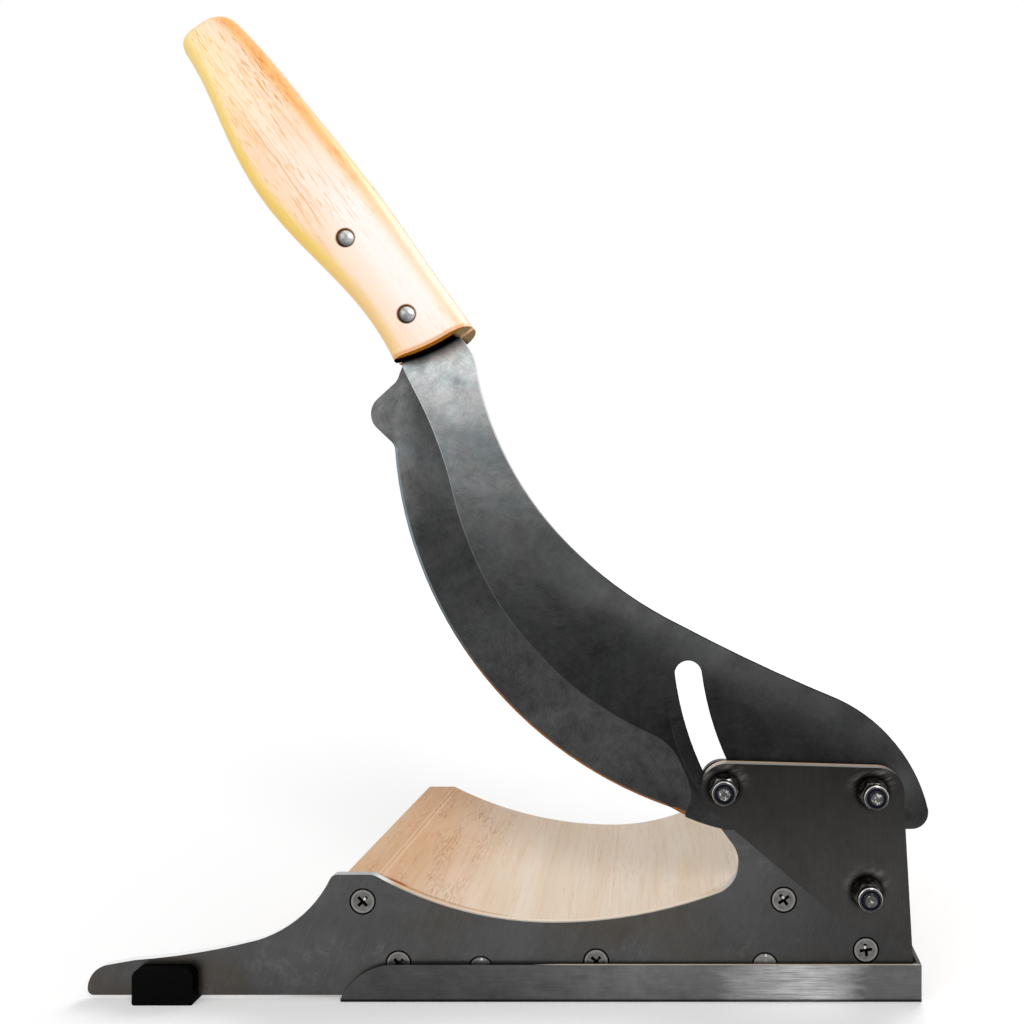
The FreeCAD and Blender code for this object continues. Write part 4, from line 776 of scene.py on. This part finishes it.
def back_outlines(node):
    """Closed loops, in millimetres as X and Z, round the back face of a flat sheet."""
    mesh = node.data
    back = max(vertex.co.y for vertex in mesh.vertices)
    # edges that only one face at the back has, in a dict because that keeps their order
    borders = {}
    places = {}

    def key(vertex):
        place = (round(vertex.co.x, 7), round(vertex.co.z, 7))
        places[place] = Vector((vertex.co.x, vertex.co.z)) / MM
        return place

    for face in mesh.polygons:
        corners = [mesh.vertices[index] for index in face.vertices]
        if all(abs(vertex.co.y - back) < SAME_MM * MM for vertex in corners):
            for first, last in pairs([key(vertex) for vertex in corners], closed=True):
                if (last, first) in borders:
                    del borders[(last, first)]
                else:
                    borders[(first, last)] = True
    following = {first: last for first, last in borders}
    loops = []
    while following:
        start, here = following.popitem()
        loop = [places[start]]
        while here != start:
            loop.append(places[here])
            here = following.pop(here)
        loops.append(loop)
    return sorted(loops, key=len, reverse=True)


def honed_line():
    """Line where the honed edge begins."""
    start, end = HONED_ANGLES
    angles = [math.radians(start + step) for step in range(int(end - start) + 1)]
    return [EDGE_CENTRE_MM + (EDGE_RADIUS_MM - HONED_MM)
            * Vector((math.cos(angle), math.sin(angle))) for angle in angles]


def grind_points(outline, ground, lines):
    """Points spread over the ground face, away from its lines."""
    low = Vector((min(point.x for point in outline), min(point.y for point in outline)))
    high = Vector((max(point.x for point in outline), max(point.y for point in outline)))
    spread = []
    for row in range(int((high.y - low.y) / GRIND_SPACING_MM)):
        for column in range(int((high.x - low.x) / GRIND_SPACING_MM)):
            point = low + Vector((column + 0.5 * (row % 2), row)) * GRIND_SPACING_MM
            if (inside(point, ground) and inside(point, outline)
                    and distance(point, lines) > GRIND_MARGIN_MM):
                spread.append(point)
    return spread


def blade_zone(point, ground, grind_pairs):
    """Zone of the blade's front face at a place."""
    if not inside(point, ground):
        return FLAT
    if distance(point, grind_pairs) < RIDGE_MM:
        return RIDGE
    return HONED if from_edge(point) < HONED_MM and point.y < HONED_TOP_MM else GROUND


def blade_sheet(loops, grind_line, hone_line, ground):
    """The blade's front face, flat and split along the grind and the honed edge.

    Returns its points, its faces with their zones, and the pairs of points that share a seam.
    """
    grind_pairs = pairs(grind_line)
    lines = grind_pairs + pairs(hone_line) + pairs(loops[0], closed=True)
    points = []
    edges = []
    open_lines = [(line, False) for line in (grind_line, beside(grind_line, RIDGE_MM), hone_line)]
    for line, closed in [(loop, True) for loop in loops] + open_lines:
        first = len(points)
        points += line
        edges += pairs(range(first, first + len(line)), closed)
    points += grind_points(loops[0], ground, lines)
    found, found_edges, faces, _, edge_origins, _ = delaunay_2d_cdt(
        points, edges, [], 0, SPLIT_MM)
    seams = {tuple(sorted(found_edges[index]))
             for index, source in enumerate(edge_origins) if source}
    kept = []
    for face in faces:
        middle = sum((found[index] for index in face), Vector((0.0, 0.0))) / len(face)
        if sum(inside(middle, loop) for loop in loops) == 1:
            kept.append((face, blade_zone(middle, ground, grind_pairs)))
    return found, kept, seams


def front_depth(point, grind_pairs, rim):
    """How far the ground face lies behind the flat one, in millimetres."""
    to_line = distance(point, grind_pairs)
    if to_line < SAME_MM:
        return 0.0
    depth = GRIND_DEPTH_MM * to_line / (to_line + distance(point, rim))
    if from_edge(point) < HONED_MM:
        depth += HONE_DEPTH_MM * (1 - from_edge(point) / HONED_MM)
    return depth


def blade_mesh(points, faces, seams, depth):
    """The sheet made solid: its front face by the depths, a flat back and cut walls."""
    low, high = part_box("blade")
    front, back = low[1], high[1]
    mesh = bmesh.new()
    vertices = {}
    for index in {index for face, _ in faces for index in face}:
        place = points[index] * MM
        vertices[index] = mesh.verts.new((place.x, front + depth[index] * MM, place.y))
    for face, zone in faces:
        mesh.faces.new([vertices[index] for index in face]).material_index = zone
    rims = [edge for edge in mesh.edges if edge.is_boundary]
    sharp = list(rims)
    for first, last in seams:
        if first in vertices and last in vertices:
            edge = mesh.edges.get((vertices[first], vertices[last]))
            if edge is not None:
                sharp.append(edge)
    twins = {vertex: mesh.verts.new((vertex.co.x, back, vertex.co.z))
             for vertex in list(mesh.verts)}
    for face in list(mesh.faces):
        behind = mesh.faces.new([twins[vertex] for vertex in reversed(face.verts)])
        behind.material_index = FLAT
    for edge in rims:
        first, last = edge.verts
        wall = mesh.faces.new((first, last, twins[last], twins[first]))
        wall.material_index = CUT
        sharp.append(mesh.edges.get((twins[first], twins[last])))
    bmesh.ops.recalc_face_normals(mesh, faces=mesh.faces)
    for face in mesh.faces:
        face.smooth = True
    for edge in sharp:
        edge.smooth = False
    data = bpy.data.meshes.new("ground_blade")
    mesh.to_mesh(data)
    mesh.free()
    return data


def make_blade():
    """The blade with a smoothly ground face, a honed edge and bright cut walls."""
    loops = back_outlines(NODES["blade"])
    grind_line = through_points(GRIND_LINE_MM)
    ground = grind_line + [Vector(point) for point in GRIND_SIDE_MM]
    points, faces, seams = blade_sheet(loops, grind_line, honed_line(), ground)
    grind_pairs = pairs(grind_line)
    rim = [pair for pair in pairs(loops[0], closed=True)
           if inside((pair[0] + pair[1]) / 2, ground)]
    depth = dict.fromkeys((index for face, _ in faces for index in face), 0.0)
    for index in {index for face, zone in faces if zone != FLAT for index in face}:
        depth[index] = front_depth(points[index], grind_pairs, rim)
    data = blade_mesh(points, faces, seams, depth)
    blade = bpy.data.objects.new("ground_blade", data)
    bpy.context.scene.collection.objects.link(blade)
    for look in (blade_flat(), blade_ground(), blade_cut(), blade_ridge(), blade_honed()):
        data.materials.append(look.material)
    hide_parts("blade")
    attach(blade, "blade_lever")


def under_handle(look, base):
    """Painted shadow: darkens the steel where the sawn end of the handle stands over it."""
    run, _, down = look.parts(handle_axes(look))
    from_end = look.from_axis(run, down, END_CENTRE_MM)
    reach = (END_RADIUS_MM + 0.2) * MM
    return look.mix(look.span(from_end, reach + 0.0009, reach, to_high=0.85), base, grey(8))


def blade_flat():
    """Rolled face with painted light, silver at the neck and near black by the pins; paler along
    the back, with a painted highlight near the tail.
    """
    look, base = steel("blade_flat", brush_angle=8.0, roughness=0.32, clouds=0.34, hatch=0.2,
                       crossed=True)
    x, _, z = look.parts(look.place)
    # painted light: silver at the neck, near black by the pins
    base = look.tinted(base, look.ramp(z, FLAT_PAINTED_LIGHT_LEVELS))
    mist = look.noise(look.moved(0.2, 8.4), scale=48.0, detail=4.0, rough=0.6)
    paler_back = look.product(
        look.span(look.math("ADD", z, look.product(x, 0.55)), 0.143, 0.169, smooth=True),
        look.span(z, 0.2, 0.165), look.span(x, 0.01, 0.07, to_low=0.8, to_high=0.3),
        look.span(mist, 0.36, 0.62, to_low=0.3))
    # painted highlight near the tail, mixed in with the paler band along the back
    tail_highlight = look.product(look.span(look.from_axis(x, z, (110.0, 91.0)), 0.013, 0.002), 0.3)
    base = look.mix(look.math("MAXIMUM", paler_back, tail_highlight), base, grey(98))
    stains = look.noise(look.moved(2.2, 5.1), scale=75.0, detail=3.0, rough=0.6)
    stained = look.product(look.span(stains, 0.5, 0.64), look.span(z, 0.19, 0.23), 0.5)
    base = look.mix(stained, base, shade(102, 114, 120))
    tarnish = look.noise(look.moved(4.4, 7.2), scale=60.0, detail=3.0, rough=0.6)
    tarnished = look.product(look.span(tarnish, 0.42, 0.6),
                             look.span(z, 0.12, 0.2, to_low=0.15, to_high=0.6))
    base = look.tinted(base, shade(240, 254, 255), tarnished)
    # rub mark: a dark line with a thin pale one inside it
    rub = look.math("SUBTRACT", look.from_axis(x, z, RUB_CENTRE_MM), RUB_RADIUS_MM * MM)
    mark = look.product(look.band(z, 0.088, 0.115, soft=0.008), look.span(x, 0.04, 0.03))
    dark = look.product(look.band(rub, 0.0004, 0.0018, soft=0.001), mark, 0.35)
    pale = look.product(look.band(rub, -0.0002, 0.0001, soft=0.0003), mark, 0.12)
    base = look.mix(dark, base, grey(26))
    base = look.mix(pale, base, grey(80))
    look.colour(under_handle(look, base))
    return look


def blade_ground():
    """Ground face, brushed across the edge and paler on its knob."""
    look, base = steel("blade_ground", brush_angle=100.0, roughness=0.36, clouds=0.36,
                       hatch=0.18, crossed=True)
    x, _, z = look.parts(look.place)
    level = look.ramp(z, GROUND_LEVELS)
    level = look.mix(look.span(x, -0.084, -0.096, smooth=True), level, grey(94, 0.01))
    tarnish = look.noise(look.moved(6.1, 3.9), scale=60.0, detail=3.0, rough=0.6)
    tarnished = look.product(look.span(tarnish, 0.42, 0.6),
                             look.span(z, 0.12, 0.2, to_low=0.1, to_high=0.5))
    level = look.tinted(level, shade(238, 253, 255), tarnished)
    smudge = look.from_axis(look.product(x, 0.4), z, (14.7 * 0.4, 84.0))
    level = look.mix(look.span(smudge, 0.004, 0.001, to_high=0.5), level, grey(44))
    look.colour(under_handle(look, look.tinted(base, level)))
    return look


def blade_cut():
    """Cut walls round the blade, dull and dark low down, and bright at the neck as fresh-cut
    steel with a painted highlight.
    """
    look, base = steel("blade_cut", brush_angle=0.0, roughness=0.36, clouds=0.15, hatch=0.1)
    _, _, z = look.parts(look.place)
    look.metal(look.span(z, 0.17, 0.2))
    look.gloss(0.0)
    look.colour(look.tinted(base, look.ramp(z, CUT_HIGHLIGHT_LEVELS)))
    return look


def blade_ridge():
    """Fine ridge where the ground face begins, painted lighter towards the neck as a glint."""
    look, base = steel("blade_ridge", brush_angle=0.0, roughness=0.3, clouds=0.1, hatch=0.1)
    _, _, z = look.parts(look.place)
    look.colour(look.tinted(base, look.ramp(z, RIDGE_GLINT_LEVELS)))
    return look


def blade_honed():
    """Honed edge: a painted highlight, pale blue high up, and a brown line low down that paints
    the wood's reflection.
    """
    look, base = steel("blade_honed", brush_angle=90.0, roughness=0.28, clouds=0.12, hatch=0.1)
    x, _, z = look.parts(look.place)
    level = look.mix(look.span(z, 0.12, 0.2, smooth=True), grey(70, 0.03), shade(116, 126, 132))
    from_centre = look.from_axis(x, z, tuple(EDGE_CENTRE_MM))
    # painted reflection of the wood: a brown line along the edge, low down
    painted_brown = look.product(look.span(from_centre, (EDGE_RADIUS_MM - 1.0) * MM,
                                   (EDGE_RADIUS_MM - 0.6) * MM), look.span(z, 0.15, 0.125))
    level = look.mix(painted_brown, level, shade(150, 97, 56))
    look.colour(look.tinted(base, level))
    return look


# ---------------------------------------------------------------- floor, lights and camera

FLOOR_HALF = 4.0
FLOOR_COLOUR = (0.8, 0.8, 0.8, 1.0)
# Distances from the middle between which the floor's own light grows, and its two levels.
FLOOR_REACH = (0.2, 1.2)
FLOOR_LIFT = (0.19, 0.7)
WORLD_LEVEL = 0.45

# Name, place, size and watts of each lamp; all of them point at LAMP_AIM.
LAMPS = (("key", (0.55, -0.95, 0.95), 0.45, 7.5),
         ("fill", (-0.95, -0.85, 0.65), 0.9, 3.5),
         ("top", (0.35, 0.45, 1.05), 0.6, 5.5))
LAMP_AIM = (0.0, 0.0, 0.15)

# Place, lens in millimetres and shift of the camera, matched to the photograph.
CAMERA_PLACE = (0.0281, -0.34525, 0.203)
CAMERA_LENS_MM = 25.56
CAMERA_SHIFT = (-0.1836, -0.0068)


def seen_share(tree):
    """1 for rays of the camera and for those of gloss and glass, and 0 for soft light."""
    path = tree.nodes.new("ShaderNodeLightPath")
    share = path.outputs["Is Camera Ray"]
    for ray in ("Is Glossy Ray", "Is Transmission Ray"):
        either = tree.nodes.new("ShaderNodeMath")
        either.operation = "MAXIMUM"
        tree.links.new(share, either.inputs[0])
        tree.links.new(path.outputs[ray], either.inputs[1])
        share = either.outputs[0]
    return share


def make_floor():
    """Plain white floor that keeps the object's shadow."""
    data = bpy.data.meshes.new("floor")
    reach = FLOOR_HALF
    data.from_pydata([(-reach, -reach, 0), (reach, -reach, 0), (reach, reach, 0),
                      (-reach, reach, 0)], [], [(0, 1, 2, 3)])
    floor = bpy.data.objects.new("floor", data)
    bpy.context.scene.collection.objects.link(floor)
    look = Look("floor", roughness=1.0)
    look.colour(FLOOR_COLOUR)
    look.gloss(0.0)
    look.put(look.shader.inputs["Emission Color"], WHITE)
    away = look.add("ShaderNodeVectorMath", operation="LENGTH")
    look.put(away.inputs[0], look.place)
    level = look.span(away.outputs["Value"], *FLOOR_REACH, *FLOOR_LIFT)
    look.put(look.shader.inputs["Emission Strength"],
             look.product(seen_share(look.tree), level))
    data.materials.append(look.material)


def make_world():
    """Soft even light, with a white background."""
    world = bpy.data.worlds.new("world")
    bpy.context.scene.world = world
    world.use_nodes = True
    tree = world.node_tree
    background = tree.nodes["Background"]
    background.inputs["Color"].default_value = WHITE
    level = tree.nodes.new("ShaderNodeMapRange")
    tree.links.new(seen_share(tree), level.inputs["Value"])
    level.inputs["To Min"].default_value = WORLD_LEVEL
    level.inputs["To Max"].default_value = 1.0
    tree.links.new(level.outputs[0], background.inputs["Strength"])


def make_lamp(name, place, size, watts):
    data = bpy.data.lights.new(name, "AREA")
    data.size = size
    data.energy = watts
    lamp = bpy.data.objects.new(name, data)
    bpy.context.scene.collection.objects.link(lamp)
    lamp.location = place
    way = Vector(LAMP_AIM) - Vector(place)
    lamp.rotation_euler = way.to_track_quat("-Z", "Y").to_euler()


def make_camera():
    """Level camera in front of the slicer, to the right of its middle."""
    data = bpy.data.cameras.new("camera")
    camera = bpy.data.objects.new("camera", data)
    bpy.context.scene.collection.objects.link(camera)
    data.sensor_width = 36.0
    data.lens = CAMERA_LENS_MM
    data.shift_x, data.shift_y = CAMERA_SHIFT
    data.clip_start = 0.01
    camera.location = CAMERA_PLACE
    camera.rotation_euler = (math.radians(90.0), 0.0, 0.0)
    bpy.context.scene.camera = camera


dress_frame()
make_blade()
make_floor()
make_world()
for lamp in LAMPS:
    make_lamp(*lamp)
make_camera()
bpy.context.scene.view_settings.view_transform = "Standard"
